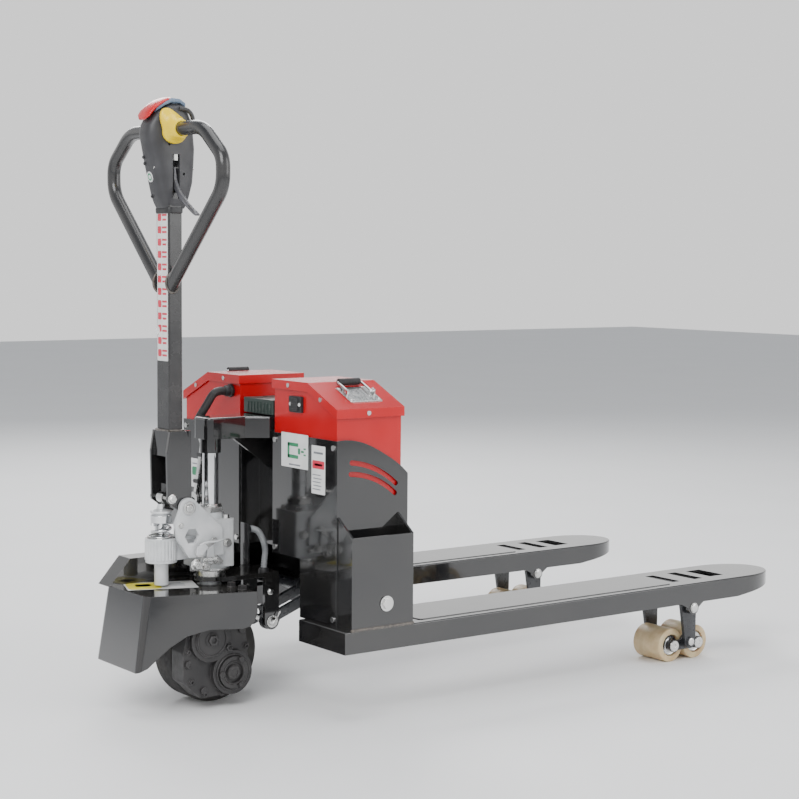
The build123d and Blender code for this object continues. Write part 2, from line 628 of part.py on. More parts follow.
# ==== steered head: pump =========================================================================
pump_z = carrier_top + 12.0         # foot of the pump casting
block_top = 366.0
gland_top = 389.0
boss_r = 31.0
boss_top = 335.0
boss_bore = 24.5
seat_z = 292.0
cap_z = 365.0
plunger_stroke = -plunger_ratio * radians(tiller_range)
plunger_r = 5.0
guide_top = cap_z - plunger_stroke - 2.0
guide_foot = seat_z - plunger_stroke - 2.0
ear_hole = (heel_x - 161.0, 339.0)
with BuildPart() as pump_body:
    rod_z(ram_x, 0, 36.0, pump_z, pump_z + 10)
    block(ram_x - 42, ram_x + 34, -38, 38, pump_z + 8, block_top)
    fillet(pump_body.edges().filter_by(Axis.Z), 5.0)
    rod_z(ram_x, 0, 27.0, block_top - 1, block_top + 12)
    rod_z(ram_x, 0, stem_r, stem_z, pump_z + 1)
    rod_z(plunger_x, 0, boss_r, seat_z - 6, boss_top)
    rod_z(plunger_x, 0, 14.0, guide_foot - 4, seat_z)
    block(plunger_x, ram_x - 30, -20, 20, seat_z - 2, boss_top - 5)
    for sign in (-1, 1):
        low, high = min(sign * ear_y, sign * 45), max(sign * ear_y, sign * 45)
        slab_y([(heel_x - 192, 332), (heel_x - 199, 366), (hinge_x - 19, hinge_z), (hinge_x + 12, hinge_z + 16),
                (heel_x - 116, 374), (heel_x - 92, 352), (heel_x - 88, 296), (heel_x - 168, 296)],
               low, high)
        rod_y(hinge_x, hinge_z, 20.0, low, high)
        rod_y(hinge_x, hinge_z, hinge_r, low - 1, high + 1, Mode.SUBTRACT)
        with BuildSketch(Plane.XZ.offset(-low)) as window:
            with Locations(ear_hole):
                RegularPolygon(16.0, 6)
        extrude(window.sketch, amount=-8.0, mode=Mode.SUBTRACT)
        rod_y(heel_x - 186, 362, 4.5, low - 1, high + 1, Mode.SUBTRACT)
    rod_z(plunger_x, 0, boss_bore, seat_z, boss_top + 1, Mode.SUBTRACT)
    rod_z(plunger_x, 0, 10.0, seat_z - 1, guide_top)
    rod_z(plunger_x, 0, plunger_r + running, guide_foot, guide_top + 1, Mode.SUBTRACT)
    rod_z(ram_x, 0, ram_r + running, stem_z + 5, block_top + 13, Mode.SUBTRACT)
finish(pump_body, "pump_body")

release_x, release_z = heel_x - 148.0, 306.0
with BuildPart() as pump_fittings:
    with BuildSketch(Plane.XY.offset(block_top + 12)) as gland_nut:
        with Locations((ram_x, 0)):
            RegularPolygon(28.0, 6)
            Circle(ram_r + running, mode=Mode.SUBTRACT)
    extrude(gland_nut.sketch, amount=gland_top - block_top - 12)
    for x, z, r in ((heel_x - 118, 285.0, 8.0), (heel_x - 96, 283.0, 6.5), (heel_x - 78, 318.0, 9.0)):
        rod_y(x, z, r, -38, -42)
        with BuildSketch(Plane.XZ.offset(42)) as plug_head:
            with Locations((x, z)):
                RegularPolygon(r * 0.8, 6)
        extrude(plug_head.sketch, amount=5.0)
    rod_y(release_x, release_z, 5.0, -53, -45)
finish(pump_fittings, "pump_fittings")

with BuildPart() as release_lever:
    slab_y(bar_outline((release_x, release_z), (release_x + 34, release_z + 22), 5.0), -52, -48)
    rod_y(release_x, release_z, 9.0, -53, -47)
    rod_y(release_x + 34, release_z + 22, 6.0, -53, -47)
    rod_y(release_x, release_z, 5.0 + running, -54, -46, Mode.SUBTRACT)
finish(release_lever, "release_lever")

cap_r, neck_r = 21.0, 6.5
with BuildPart() as plunger:
    rod_z(plunger_x, 0, cap_r, cap_z, cap_z + 18)
    chamfer(plunger.faces().sort_by(Axis.Z)[-1].edges(), 4.0)
    rod_z(plunger_x, 0, neck_r, cap_z + 17, plunger_top)
    rod_z(plunger_x, 0, plunger_r, seat_z, cap_z + 1)
finish(plunger, "pump_plunger")

spring_r, wire_r, spring_turns = 18.0, 3.0, 4.5
with BuildPart() as pump_spring:
    with BuildLine() as coil:
        Helix(pitch=(cap_z - seat_z - 2 * wire_r) / spring_turns, height=cap_z - seat_z - 2 * wire_r,
              radius=spring_r, center=(plunger_x, 0, seat_z + wire_r))
    with BuildSketch(Plane(origin=coil.line @ 0, z_dir=coil.line % 0)):
        Circle(wire_r)
    sweep(is_frenet=True)
finish(pump_spring, "pump_spring")

with BuildPart() as hinge_pin:
    rod_y(hinge_x, hinge_z, hinge_r, -48, 48)
    for sign in (-1, 1):
        rod_y(hinge_x, hinge_z, 11.0, sign * 45, sign * 47)
finish(hinge_pin, "tiller_pin")

# ==== steered head: drive ========================================================================
wall = 4.0
rear_x = heel_x - 74.0
corner_y = 148.0
nose_y = 80.0
skirt_low = 90.0
cover_plan = [(heel_x - 283, -nose_y), (heel_x - 283, nose_y), (rear_x, corner_y), (rear_x, -corner_y)]
skirt_plan = [(nose_x, -nose_y - 6), (nose_x, nose_y + 6), (rear_x, corner_y + 3), (rear_x, -corner_y - 3)]
hump = (heel_x - 240.0, heel_x - 104.0, 64.0, 112.0, 287.0)
with BuildPart() as drive_cover:
    with BuildSketch(Plane.XY.offset(skirt_low)):
        with BuildLine():
            Polyline(*skirt_plan, close=True)
        make_face()
        fillet(vertices().group_by(Axis.X)[0], 14.0)
    with BuildSketch(Plane.XY.offset(cover_top)):
        with BuildLine():
            Polyline(*cover_plan, close=True)
        make_face()
        fillet(vertices().group_by(Axis.X)[0], 14.0)
    loft()
    slab_y([(hump[0] - 46, cover_top - 2), (hump[0], hump[4]), (hump[1], hump[4]),
            (hump[1], cover_top - 2)], hump[2], hump[3])
    with BuildSketch(Plane.XY.offset(skirt_low - 1)) as low_inside:
        with BuildLine():
            Polyline(*[(x + (wall if x < rear_x else 1), y - wall * (1 if y > 0 else -1))
                       for x, y in skirt_plan], close=True)
        make_face()
        fillet(low_inside.vertices().group_by(Axis.X)[0], 10.0)
    with BuildSketch(Plane.XY.offset(cover_top - wall)) as high_inside:
        with BuildLine():
            Polyline(*[(x + (wall if x < rear_x else 1), y - wall * (1 if y > 0 else -1))
                       for x, y in cover_plan], close=True)
        make_face()
        fillet(high_inside.vertices().group_by(Axis.X)[0], 10.0)
    loft([low_inside.sketch, high_inside.sketch], mode=Mode.SUBTRACT)
    slab_y([(hump[0] - 38, cover_top - wall - 1), (hump[0] + 2, hump[4] - wall), (hump[1] - wall, hump[4] - wall),
            (hump[1] - wall, cover_top - wall - 1)], hump[2] + wall, hump[3] - wall, Mode.SUBTRACT)
    slab_y([(nose_x - 5, skirt_low - 5), (nose_x - 5, skirt_low), (nose_x, skirt_low), (heel_x - 285, 99), (heel_x - 242, 136),
            (heel_x - 209, 156), (heel_x - 165, 166), (heel_x - 102, 164), (heel_x - 88, 168),
            (heel_x - 79, 178), (rear_x - 1, 194), (rear_x + 10, 200), (rear_x + 10, skirt_low - 5)], -corner_y - 20, corner_y + 20, Mode.SUBTRACT)
    rod_z(ram_x, 0, 40.0, cover_top - wall - 1, cover_top + 1, Mode.SUBTRACT)
    block(ram_x, rear_x + 5, -40, 40, cover_top - wall - 1, cover_top + 1, Mode.SUBTRACT)
finish(drive_cover, "drive_cover")

mount_z = 2 * drive_r + 6.0
case_y0, case_y1 = -46.0, -62.0
with BuildPart() as drive_mount:
    block(heel_x - 190, ram_x + 30, -62, 62, mount_z, cover_top - wall)
    block(rear_x - 28, rear_x - 6, -130, 130, cover_top - wall - 6, cover_top - wall)
    block(heel_x - 175, heel_x - 62, case_y0, case_y0 - 10, 170, mount_z + 1)
    block(heel_x - 175, heel_x - 90, -case_y0, -case_y0 + 10, 120, mount_z + 1)
    rod_z(ram_x, 0, stem_r, mount_z - 1, cover_top, Mode.SUBTRACT)
    rod_y(heel_x - 135, 148, 20.0, 40, 60, Mode.SUBTRACT)
finish(drive_mount, "drive_mount")

gear_out = -104.0
ring_x, ring_z = heel_x - 102.0, 71.0
upper_x, upper_z = heel_x - 150.0, 145.0
with BuildPart() as gear_casing:
    slab_y([(heel_x - 207, 62), (heel_x - 207, 118), (heel_x - 196, 168), (heel_x - 70, 168),
            (heel_x - 62, 122), (heel_x - 58, 62), (heel_x - 84, 28), (heel_x - 168, 24)],
           gear_out + 14, case_y0, radius=12)
    rod_y(upper_x, upper_z - 4, 44.0, gear_out + 3, gear_out + 16)
    rod_y(ring_x, ring_z, 44.0, gear_out + 3, gear_out + 16)
    rod_y(upper_x, upper_z - 4, 36.0, gear_out, gear_out + 5)
    rod_y(ring_x, ring_z, 32.0, gear_out - 3, gear_out + 5)
    rod_y(ring_x, ring_z, 24.0, gear_out - 4, gear_out + 3, Mode.SUBTRACT)
    rod_y(ring_x, ring_z, 14.0, gear_out - 2, gear_out + 5)
    rod_y(axle_x, drive_r, 15.0 + running, case_y0 - 30, case_y0 + 1, Mode.SUBTRACT)
    block(heel_x - 175, heel_x - 62, case_y0 + 1, case_y0 - 10.01, 169.99, 230, Mode.SUBTRACT)
finish(gear_casing, "gear_casing")

with BuildPart() as drive_bolts:
    for y in (-118.0, -76.0, 76.0, 118.0):
        rod_z(rear_x - 16, y, 9.0, cover_top, cover_top + 1.5)
        with BuildSketch(Plane.XY.offset(cover_top + 1.5)) as square_head:
            with Locations((rear_x - 16, y)):
                Rectangle(12, 12)
        extrude(square_head.sketch, amount=8.0)
    for angle in (-60, 60, 180):
        rod_y(ring_x + 22 * cos(radians(angle)) * 1.32, ring_z + 29 * sin(radians(angle)), 5.5,
              gear_out - 3, gear_out - 8)
    for x, z, y in ((heel_x - 197, 96, gear_out + 14), (upper_x, upper_z - 4, gear_out),
                    (heel_x - 76, 151, gear_out + 14), (heel_x - 162, 40, gear_out + 14)):
        rod_y(x, z, 7.0, y, y - 5)
finish(drive_bolts, "drive_bolts")

with BuildPart() as drive_motor:
    rod_y(heel_x - 135, 148, 50.0, -case_y0 + 10, 100)
    rod_y(heel_x - 135, 148, 18.0, -case_y0 - 4, -case_y0 + 10)
    for i in range(4):
        rod_y(heel_x - 135, 148, 51.0, 63 + 9 * i, 67 + 9 * i, Mode.SUBTRACT, inner=47.0)
    rod_y(heel_x - 135, 148, 38.0, 100, 108)
finish(drive_motor, "drive_motor")

half_tyre = drive_tyre_w / 2
with BuildPart() as drive_tyre:
    rod_y(axle_x, drive_r, drive_r, -half_tyre, half_tyre)
    fillet(drive_tyre.edges().filter_by(GeomType.CIRCLE), 8.0)
    rod_y(axle_x, drive_r, drive_r - 22, -half_tyre - 1, half_tyre + 1, Mode.SUBTRACT)
finish(drive_tyre, "drive_tyre")
with BuildPart() as drive_hub:
    rod_y(axle_x, drive_r, drive_r - 22, -half_tyre + 2, half_tyre - 2)
    for sign in (-1, 1):
        rod_y(axle_x, drive_r, 66.0, sign * (half_tyre - 2), sign * (half_tyre - 14), Mode.SUBTRACT, inner=28.0)
    with Locations(Plane.XZ.offset(0)):
        with Locations((axle_x, drive_r)):
            with PolarLocations(47.0, 6):
                Cylinder(9.0, drive_tyre_w, mode=Mode.SUBTRACT)
    rod_y(axle_x, drive_r, 15.0, case_y0 - 26, half_tyre)
finish(drive_hub, "drive_hub")

# ==== tiller =====================================================================================
yoke_foot = hinge_z - 14
pole_foot = 500.0
pole_head = 1010.0
pole_wall = 3.0
px0, px1 = pole_x - pole_x_size / 2, pole_x + pole_x_size / 2
py = pole_y_size / 2
tappet_x, tappet_z = hinge_x + roller_dx, hinge_z + roller_dz
with BuildPart() as tiller_yoke:
    for sign in (-1, 1):
        low, high = min(sign * 29, sign * yoke_y), max(sign * 29, sign * yoke_y)
        slab_y([(heel_x - 209, tappet_z - 6), (heel_x - 211, 505), (px0 - 4, 546), (px1 + 4, 546),
                (heel_x - 157, 505), (heel_x - 156, hinge_z), (hinge_x - 6, hinge_z - 12)], low, high)
        rod_y(hinge_x, hinge_z, 14.0, low, high)
        rod_y(tappet_x, tappet_z, 10.0, low, high)
        rod_y(hinge_x, hinge_z, hinge_r + running, low - 1, high + 1, Mode.SUBTRACT)
    block(heel_x - 163, heel_x - 157, -yoke_y, yoke_y, 432, 546)
    block(px0 - 4, px1 + 4, -29.5, 29.5, pole_foot - 4, 546)
    block(px0, px1, -py, py, pole_foot, 547, Mode.SUBTRACT)
finish(tiller_yoke, "tiller_yoke")

with BuildPart() as tappet_roller:
    rod_y(tappet_x, tappet_z, tappet_r, -11, 11, inner=4.0 + running)
finish(tappet_roller, "pump_roller")

with BuildPart() as tiller_pole:
    block(px0, px1, -py, py, pole_foot, pole_head)
    fillet(tiller_pole.edges().filter_by(Axis.Z), 3.0)
    block(px0 + pole_wall, px1 - pole_wall, -py + pole_wall, py - pole_wall, pole_foot - 1,
          pole_head + 1, Mode.SUBTRACT)
finish(tiller_pole, "tiller_pole")

loop_half, loop_low, loop_high = 216.5, 836.0, 1131.0
sleeve_y = 20.0
for side, sign in sides:
    with BuildPart() as handle_loop:
        with BuildLine() as loop_path:
            FilletPolyline((loop_x, sign * (py - 12), loop_low - 12), (loop_x, sign * loop_half, 1016),
                           (loop_x, sign * loop_half, 1072), (loop_x, sign * 142, loop_high),
                           (loop_x, sign * sleeve_y, loop_high), radius=[58, 42, 80])
        with BuildSketch(Plane(origin=loop_path.line @ 0, z_dir=loop_path.line % 0)):
            Circle(tube_r)
        sweep()
        block(loop_x - 40, loop_x + 40, -py, py, 700, 900, Mode.SUBTRACT)
    finish(handle_loop, "handle_loop_" + side)

# ==== control head ===============================================================================
head_outline = [(heel_x - 207, 980), (heel_x - 216, 1000), (heel_x - 231, 1062), (heel_x - 245, 1128),
                (heel_x - 228, 1163), (heel_x - 190, 1183), (heel_x - 160, 1180), (heel_x - 142, 1143),
                (heel_x - 136, 1090), (heel_x - 141, 1030), (heel_x - 158, 980)]
hub_r = tube_r + running
sleeve_r = tube_r + 4.0
slot_z0, slot_z1 = 998.0, 1084.0
lever_x, lever_pivot = pole_x, (-16.0, 1058.0)
lever_pin_r, lever_pin_x = 3.0, (heel_x - 228.0, heel_x - 140.0)
press_out = (-cos(radians(42)), sin(radians(42)))     # outward direction of the belly button
stem_mid = (heel_x - 214.0, 1168.0)


def head_cuts():
    """Openings of the control head, shared by its two shells."""
    rod_y(loop_x, loop_high, sleeve_r + 0.4, -40, 40, Mode.SUBTRACT)
    block(px0 - 0.3, px1 + 0.3, -py - 0.3, py + 0.3, 970, pole_head + 1, Mode.SUBTRACT)
    block(lever_x - 4.5, lever_x + 4.5, -40, -py + 4, slot_z0, slot_z1, Mode.SUBTRACT)
    rod_x(*lever_pivot, lever_pin_r, lever_pin_x[0], lever_pin_x[1], Mode.SUBTRACT)
    block(heel_x - 186, heel_x - 164, -15, 15, 1150, 1200, Mode.SUBTRACT)
    with BuildSketch(Plane(origin=(stem_mid[0] - 30 * press_out[0], 0, stem_mid[1] - 30 * press_out[1]),
                           x_dir=(0, 1, 0), z_dir=(press_out[0], 0, press_out[1]))) as stem_hole:
        Circle(9.4)
    extrude(stem_hole.sketch, amount=60, mode=Mode.SUBTRACT)


inner_outline = [(heel_x - 204, 1012), (heel_x - 213, 1012), (heel_x - 227, 1066), (heel_x - 240, 1126),
                 (heel_x - 225, 1157), (heel_x - 190, 1176), (heel_x - 165, 1174), (heel_x - 148, 1143),
                 (heel_x - 141, 1090), (heel_x - 146, 1032), (heel_x - 152, 1012)]
for side, sign in sides:
    with BuildPart() as head_shell:
        low, high = min(0, sign * head_half), max(0, sign * head_half)
        slab_y(head_outline, low, high, radius=6)
        rim_face = head_shell.faces().sort_by(Axis.Y)[0 if sign < 0 else -1]
        chamfer(rim_face.edges(), 3.0)
        slab_y(inner_outline, min(0, sign * (head_half - 3.5)), max(0, sign * (head_half - 3.5)), Mode.SUBTRACT)
        head_cuts()
    finish(head_shell, "head_shell_" + side)

wing_r, cone_y0, cone_y1 = 28.0, head_half + 9.0, 64.0
with BuildPart() as throttle:
    for sign in (-1, 1):
        rod_y(loop_x, loop_high, sleeve_r, sign * (sleeve_y - 6), sign * (cone_y0 + 1))
        rod_y(loop_x, loop_high, wing_r, sign * (head_half + 1), sign * (cone_y0 + 1))
        rod_y(loop_x - 22, loop_high + 31, 13.0, sign * (head_half + 1), sign * (cone_y0 - 1))
        slab_y([(loop_x - 28, loop_high + 2), (loop_x - 35, loop_high + 29), (loop_x - 11, loop_high + 38),
                (loop_x + 12, loop_high + 22), (loop_x, loop_high)],
               min(sign * (head_half + 1), sign * (cone_y0 - 1)), max(sign * (head_half + 1), sign * (cone_y0 - 1)))
        with BuildSketch(Plane.XZ.offset(-sign * cone_y0)) as wide:
            with Locations((loop_x, loop_high)):
                Circle(wing_r - 5)
        with BuildSketch(Plane.XZ.offset(-sign * cone_y1)) as narrow:
            with Locations((loop_x, loop_high)):
                Circle(sleeve_r)
        loft([wide.sketch, narrow.sketch])
        rod_y(loop_x, loop_high, hub_r, sign * sleeve_y, sign * (cone_y1 + 1), Mode.SUBTRACT)
    rod_y(loop_x, loop_high, 7.0, -sleeve_y + 5, sleeve_y - 5)
finish(throttle, "throttle")

with BuildPart() as belly_button:
    with BuildSketch(Plane.XZ.offset(-(-25))) as cap:
        with BuildLine():
            ThreePointArc((heel_x - 247, 1154), (heel_x - 226, 1182), (heel_x - 188, 1198))
            Line((heel_x - 188, 1198), (heel_x - 190, 1189))
            Line((heel_x - 190, 1189), (heel_x - 229, 1170))
            Line((heel_x - 229, 1170), (heel_x - 247, 1154))
        make_face()
    extrude(cap.sketch, amount=-50.0)
    stem_foot = (stem_mid[0] - 8 * press_out[0], 0, stem_mid[1] - 8 * press_out[1])
    with BuildSketch(Plane(origin=stem_foot, x_dir=(0, 1, 0), z_dir=(press_out[0], 0, press_out[1]))) as stem:
        Circle(9.0)
    extrude(stem.sketch, amount=16)
finish(belly_button, "belly_button")

with BuildPart() as horn_button:
    block(heel_x - 185.5, heel_x - 164.5, -14.5, 14.5, 1170, 1189)
    fillet(horn_button.faces().sort_by(Axis.Z)[-1].edges(), 3.0)
finish(horn_button, "horn_button")

with BuildPart() as lift_lever:
    slab_x([(lever_pivot[0] - 5, lever_pivot[1] + 4), (-30, 1030), (-46, 1014), (-86, 986), (-112, 967),
            (-106, 962), (-80, 974), (-42, 998), (-22, 1014), (lever_pivot[0] + 3, lever_pivot[1] - 8)],
           lever_x - 3, lever_x + 3)
    rod_x(*lever_pivot, 7.0, lever_x - 3, lever_x + 3)
    rod_x(*lever_pivot, lever_pin_r + running, lever_x - 4, lever_x + 4, Mode.SUBTRACT)
finish(lift_lever, "lift_lever")
with BuildPart() as tiller_pins:
    rod_x(*lever_pivot, lever_pin_r, lever_pin_x[0], lever_pin_x[1])
    rod_y(tappet_x, tappet_z, 4.0, -29, 29)
finish(tiller_pins, "tiller_pins")
print("nodes", len(os.listdir("parts")))
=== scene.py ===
import json
from math import atan2, cos, exp, pi, radians, sin

import bmesh
import bpy
from mathutils import Matrix, Vector


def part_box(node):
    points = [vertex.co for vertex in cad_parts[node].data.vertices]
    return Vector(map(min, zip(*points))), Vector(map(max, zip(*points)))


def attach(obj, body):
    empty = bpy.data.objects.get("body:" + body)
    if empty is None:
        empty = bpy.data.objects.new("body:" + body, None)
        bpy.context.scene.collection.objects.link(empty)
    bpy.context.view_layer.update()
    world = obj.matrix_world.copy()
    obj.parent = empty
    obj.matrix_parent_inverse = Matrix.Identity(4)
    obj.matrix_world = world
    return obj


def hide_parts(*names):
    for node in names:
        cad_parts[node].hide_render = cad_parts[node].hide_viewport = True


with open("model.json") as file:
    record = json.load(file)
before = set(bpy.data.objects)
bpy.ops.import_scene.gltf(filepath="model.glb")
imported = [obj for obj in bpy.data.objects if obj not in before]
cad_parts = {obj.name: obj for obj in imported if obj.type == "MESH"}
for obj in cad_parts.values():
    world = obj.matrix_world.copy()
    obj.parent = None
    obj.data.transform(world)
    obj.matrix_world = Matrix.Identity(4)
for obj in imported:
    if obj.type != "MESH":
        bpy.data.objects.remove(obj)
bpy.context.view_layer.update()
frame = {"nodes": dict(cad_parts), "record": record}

scene = bpy.context.scene
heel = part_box("fork_right")[0].x
MM = 0.001
PLUNGER_X, POLE_X, HINGE_X, RAM_X = -205, -185, -168, -93     # stations along the drive head
HINGE_Z = 395
AXLE_X, AXLE_Z = -105, 98                       # drive wheel
RING_X, RING_Z = -102, 71                       # bearing ring on the gear casing
UPPER_X, UPPER_Z = -150, 141                    # upper cover on the gear casing
LINK_X, LINK_Z = 24, 148.5                      # rocker to carrier pin
CABLE_Y, CABLE_Z = 100, 610                     # battery lead at its gland
BOGIE_X, LOAD_Y = 940, 262.5                    # load wheels, and the middle of a fork


def at(x, y, z):
    """A point given in millimetres from the heel, in the row frame."""
    return Vector((heel + x * MM, y * MM, z * MM))


# ==== camera =====================================================================================
CAMERA_AZIMUTH, CAMERA_ELEVATION, CAMERA_ROLL = radians(-36.392), radians(4.532), radians(0.408)
back = Vector((sin(CAMERA_AZIMUTH) * cos(CAMERA_ELEVATION), -cos(CAMERA_AZIMUTH) * cos(CAMERA_ELEVATION),
               sin(CAMERA_ELEVATION)))
level = Vector((cos(CAMERA_AZIMUTH), sin(CAMERA_AZIMUTH), 0))
above = back.cross(level)
right = level * cos(CAMERA_ROLL) + above * sin(CAMERA_ROLL)
up = above * cos(CAMERA_ROLL) - level * sin(CAMERA_ROLL)
camera_data = bpy.data.cameras.new("camera")
camera_data.lens, camera_data.sensor_width = 81.47, 36.0
camera = bpy.data.objects.new("camera", camera_data)
scene.collection.objects.link(camera)
turn = Matrix((right, up, back)).transposed().to_4x4()
camera.matrix_world = Matrix.Translation((-2.3809, -3.1199, 0.8905)) @ turn
scene.camera = camera


# ==== materials ==================================================================================
class Shader:
    """One node material: a Principled shader with a few helpers that add and link its nodes."""

    def __init__(self, name):
        self.material = bpy.data.materials.new(name)
        self.material.use_nodes = True
        self.nodes = self.material.node_tree.nodes
        self.links = self.material.node_tree.links
        self.bsdf = self.nodes["Principled BSDF"]
        self.place = self.nodes.new("ShaderNodeTexCoord").outputs["Object"]

    def set(self, **values):
        for key, value in values.items():
            self.bsdf.inputs[key.replace("_", " ")].default_value = value

    def noise(self, scale, detail=3.0, stretch=(1, 1, 1)):
        mapping = self.nodes.new("ShaderNodeMapping")
        mapping.inputs["Scale"].default_value = stretch
        self.links.new(self.place, mapping.inputs["Vector"])
        texture = self.nodes.new("ShaderNodeTexNoise")
        texture.inputs["Scale"].default_value = scale
        texture.inputs["Detail"].default_value = detail
        self.links.new(mapping.outputs[0], texture.inputs["Vector"])
        return texture.outputs["Fac"]

    def ramp(self, value, low, high, start=0.35, end=0.65):
        ramp = self.nodes.new("ShaderNodeValToRGB")
        ramp.color_ramp.elements[0].position = start
        ramp.color_ramp.elements[1].position = end
        ramp.color_ramp.elements[0].color = (*low, 1)
        ramp.color_ramp.elements[1].color = (*high, 1)
        self.links.new(value, ramp.inputs["Fac"])
        return ramp.outputs["Color"]

    def number(self, value, low, high, start=0.3, end=0.7):
        fit = self.nodes.new("ShaderNodeMapRange")
        fit.inputs["From Min"].default_value = start
        fit.inputs["From Max"].default_value = end
        fit.inputs["To Min"].default_value = low
        fit.inputs["To Max"].default_value = high
        self.links.new(value, fit.inputs["Value"])
        return fit.outputs["Result"]

    def blend(self, amount, first, second):
        mix = self.nodes.new("ShaderNodeMix")
        mix.data_type = "RGBA"
        self.links.new(amount, mix.inputs["Factor"])
        for side, value in (("A", first), ("B", second)):
            socket = [s for s in mix.inputs if s.name == side and s.type == "RGBA"][0]
            if isinstance(value, tuple):
                socket.default_value = (*value, 1)
            else:
                self.links.new(value, socket)
        return [s for s in mix.outputs if s.type == "RGBA"][0]

    def math(self, operation, first, second):
        node = self.nodes.new("ShaderNodeMath")
        node.operation = operation
        for socket, value in zip(node.inputs, (first, second)):
            if isinstance(value, (int, float)):
                socket.default_value = value
            else:
                self.links.new(value, socket)
        return node.outputs[0]

    def rounded_edges(self, radius):
        """Normals that turn softly over each edge, and a mask that is high there."""
        bevel = self.nodes.new("ShaderNodeBevel")
        bevel.samples = 4
        bevel.inputs["Radius"].default_value = radius
        normal = self.nodes.new("ShaderNodeNewGeometry").outputs["Normal"]
        dot = self.nodes.new("ShaderNodeVectorMath")
        dot.operation = "DOT_PRODUCT"
        self.links.new(bevel.outputs[0], dot.inputs[0])
        self.links.new(normal, dot.inputs[1])
        return bevel.outputs[0], self.math("SUBTRACT", 1.0, dot.outputs["Value"])

    def bump(self, height, strength, depth, normal=None):
        bump = self.nodes.new("ShaderNodeBump")
        bump.inputs["Strength"].default_value = strength
        bump.inputs["Distance"].default_value = depth
        self.links.new(height, bump.inputs["Height"])
        if normal is not None:
            self.links.new(normal, bump.inputs["Normal"])
        return bump.outputs[0]

    def upward(self):
        """High where the surface faces up, where dust settles."""
        split = self.nodes.new("ShaderNodeSeparateXYZ")
        self.links.new(self.nodes.new("ShaderNodeNewGeometry").outputs["Normal"], split.inputs[0])
        return self.number(split.outputs["Z"], 0.0, 1.0, 0.6, 1.0)

    def connect(self, **links):
        for key, value in links.items():
            self.links.new(value, self.bsdf.inputs[key.replace("_", " ")])


materials = {}


def finish_material(name, low, high, rough, patch=9.0, grain=(700.0, 0.08, 0.0003), edge=1.2, worn=None,
                    dust=None, stretch=(1, 1, 1), **constants):
    """A surface whose colour and roughness drift over patches, with fine grain and softened, worn edges."""
    shader = Shader(name)
    shader.set(**constants)
    patches = shader.noise(patch, 5.0)
    colour = shader.ramp(patches, low, high)
    speck = shader.noise(grain[0], 2.0, stretch)
    normal, edges = shader.rounded_edges(edge * MM)
    if dust:
        film = shader.math("MULTIPLY", shader.upward(), shader.number(shader.noise(26.0, 6.0), 0.0, dust[3]))
        colour = shader.blend(film, colour, dust[:3])
    if worn:
        chipped = shader.math("MULTIPLY", shader.number(edges, 0.0, 1.0, 0.02, 0.25),
                              shader.number(shader.noise(120.0, 4.0), 0.0, 1.0, 0.45, 0.6))
        colour = shader.blend(chipped, colour, worn)
    smudge = shader.noise(patch * 4, 6.0, stretch)
    shader.connect(Base_Color=colour, Roughness=shader.number(smudge, *rough),
                   Normal=shader.bump(speck, grain[1], grain[2], normal))
    materials[name] = shader.material
    return shader.material


GREY_DUST = (0.16, 0.15, 0.14, 0.22)
finish_material("black_paint", (0.009, 0.009, 0.010), (0.016, 0.0155, 0.015), (0.06, 0.14),
                grain=(260.0, 0.05, 0.0004), worn=(0.10, 0.10, 0.10), dust=GREY_DUST, Coat_Weight=0.7,
                Coat_Roughness=0.04, Specular_IOR_Level=0.6)
finish_material("cover_gloss", (0.008, 0.008, 0.009), (0.018, 0.017, 0.016), (0.05, 0.12),
                grain=(90.0, 0.06, 0.0008), edge=2.5, worn=(0.09, 0.085, 0.08),
                dust=(0.18, 0.17, 0.15, 0.18), Coat_Weight=0.9, Coat_Roughness=0.03)
finish_material("red_box", (0.46, 0.0, 0.003), (0.52, 0.001, 0.005), (0.20, 0.27), patch=5.0,
                grain=(320.0, 0.04, 0.0003), worn=(0.72, 0.05, 0.04), Coat_Weight=0.15, Coat_Roughness=0.1)
finish_material("black_plastic", (0.012, 0.012, 0.013), (0.028, 0.028, 0.030), (0.35, 0.5),
                worn=(0.12, 0.12, 0.12))
finish_material("controller_green", (0.018, 0.034, 0.028), (0.032, 0.050, 0.042), (0.35, 0.5),
                worn=(0.3, 0.32, 0.3), dust=GREY_DUST)
finish_material("zinc_steel", (0.60, 0.60, 0.59), (0.72, 0.72, 0.71), (0.20, 0.30), patch=16.0,
                grain=(900.0, 0.05, 0.0001), edge=0.5, Metallic=1.0)
finish_material("pump_silver", (0.60, 0.62, 0.63), (0.76, 0.77, 0.78), (0.32, 0.48), patch=22.0,
                grain=(420.0, 0.32, 0.0006), edge=2.0, worn=(0.42, 0.42, 0.42), Metallic=0.35,
                Coat_Weight=0.15)
finish_material("chrome", (0.72, 0.73, 0.74), (0.84, 0.85, 0.86), (0.05, 0.14), patch=14.0,
                grain=(600.0, 0.04, 0.0002), edge=0.6, stretch=(1, 1, 0.05), Metallic=1.0)
finish_material("cast_dark", (0.020, 0.019, 0.020), (0.040, 0.038, 0.038), (0.38, 0.58), patch=20.0,
                grain=(380.0, 0.4, 0.0008), edge=1.8, worn=(0.14, 0.13, 0.13), dust=GREY_DUST)
finish_material("motor_dark", (0.030, 0.030, 0.033), (0.055, 0.055, 0.058), (0.34, 0.5),
                grain=(500.0, 0.2, 0.0004), worn=(0.2, 0.2, 0.2))
finish_material("conduit_grey", (0.20, 0.21, 0.22), (0.30, 0.31, 0.32), (0.3, 0.45), patch=60.0, edge=0.3)
finish_material("cable_rubber", (0.010, 0.010, 0.010), (0.022, 0.022, 0.022), (0.4, 0.6), patch=50.0,
                grain=(900.0, 0.2, 0.0003), edge=0.3)
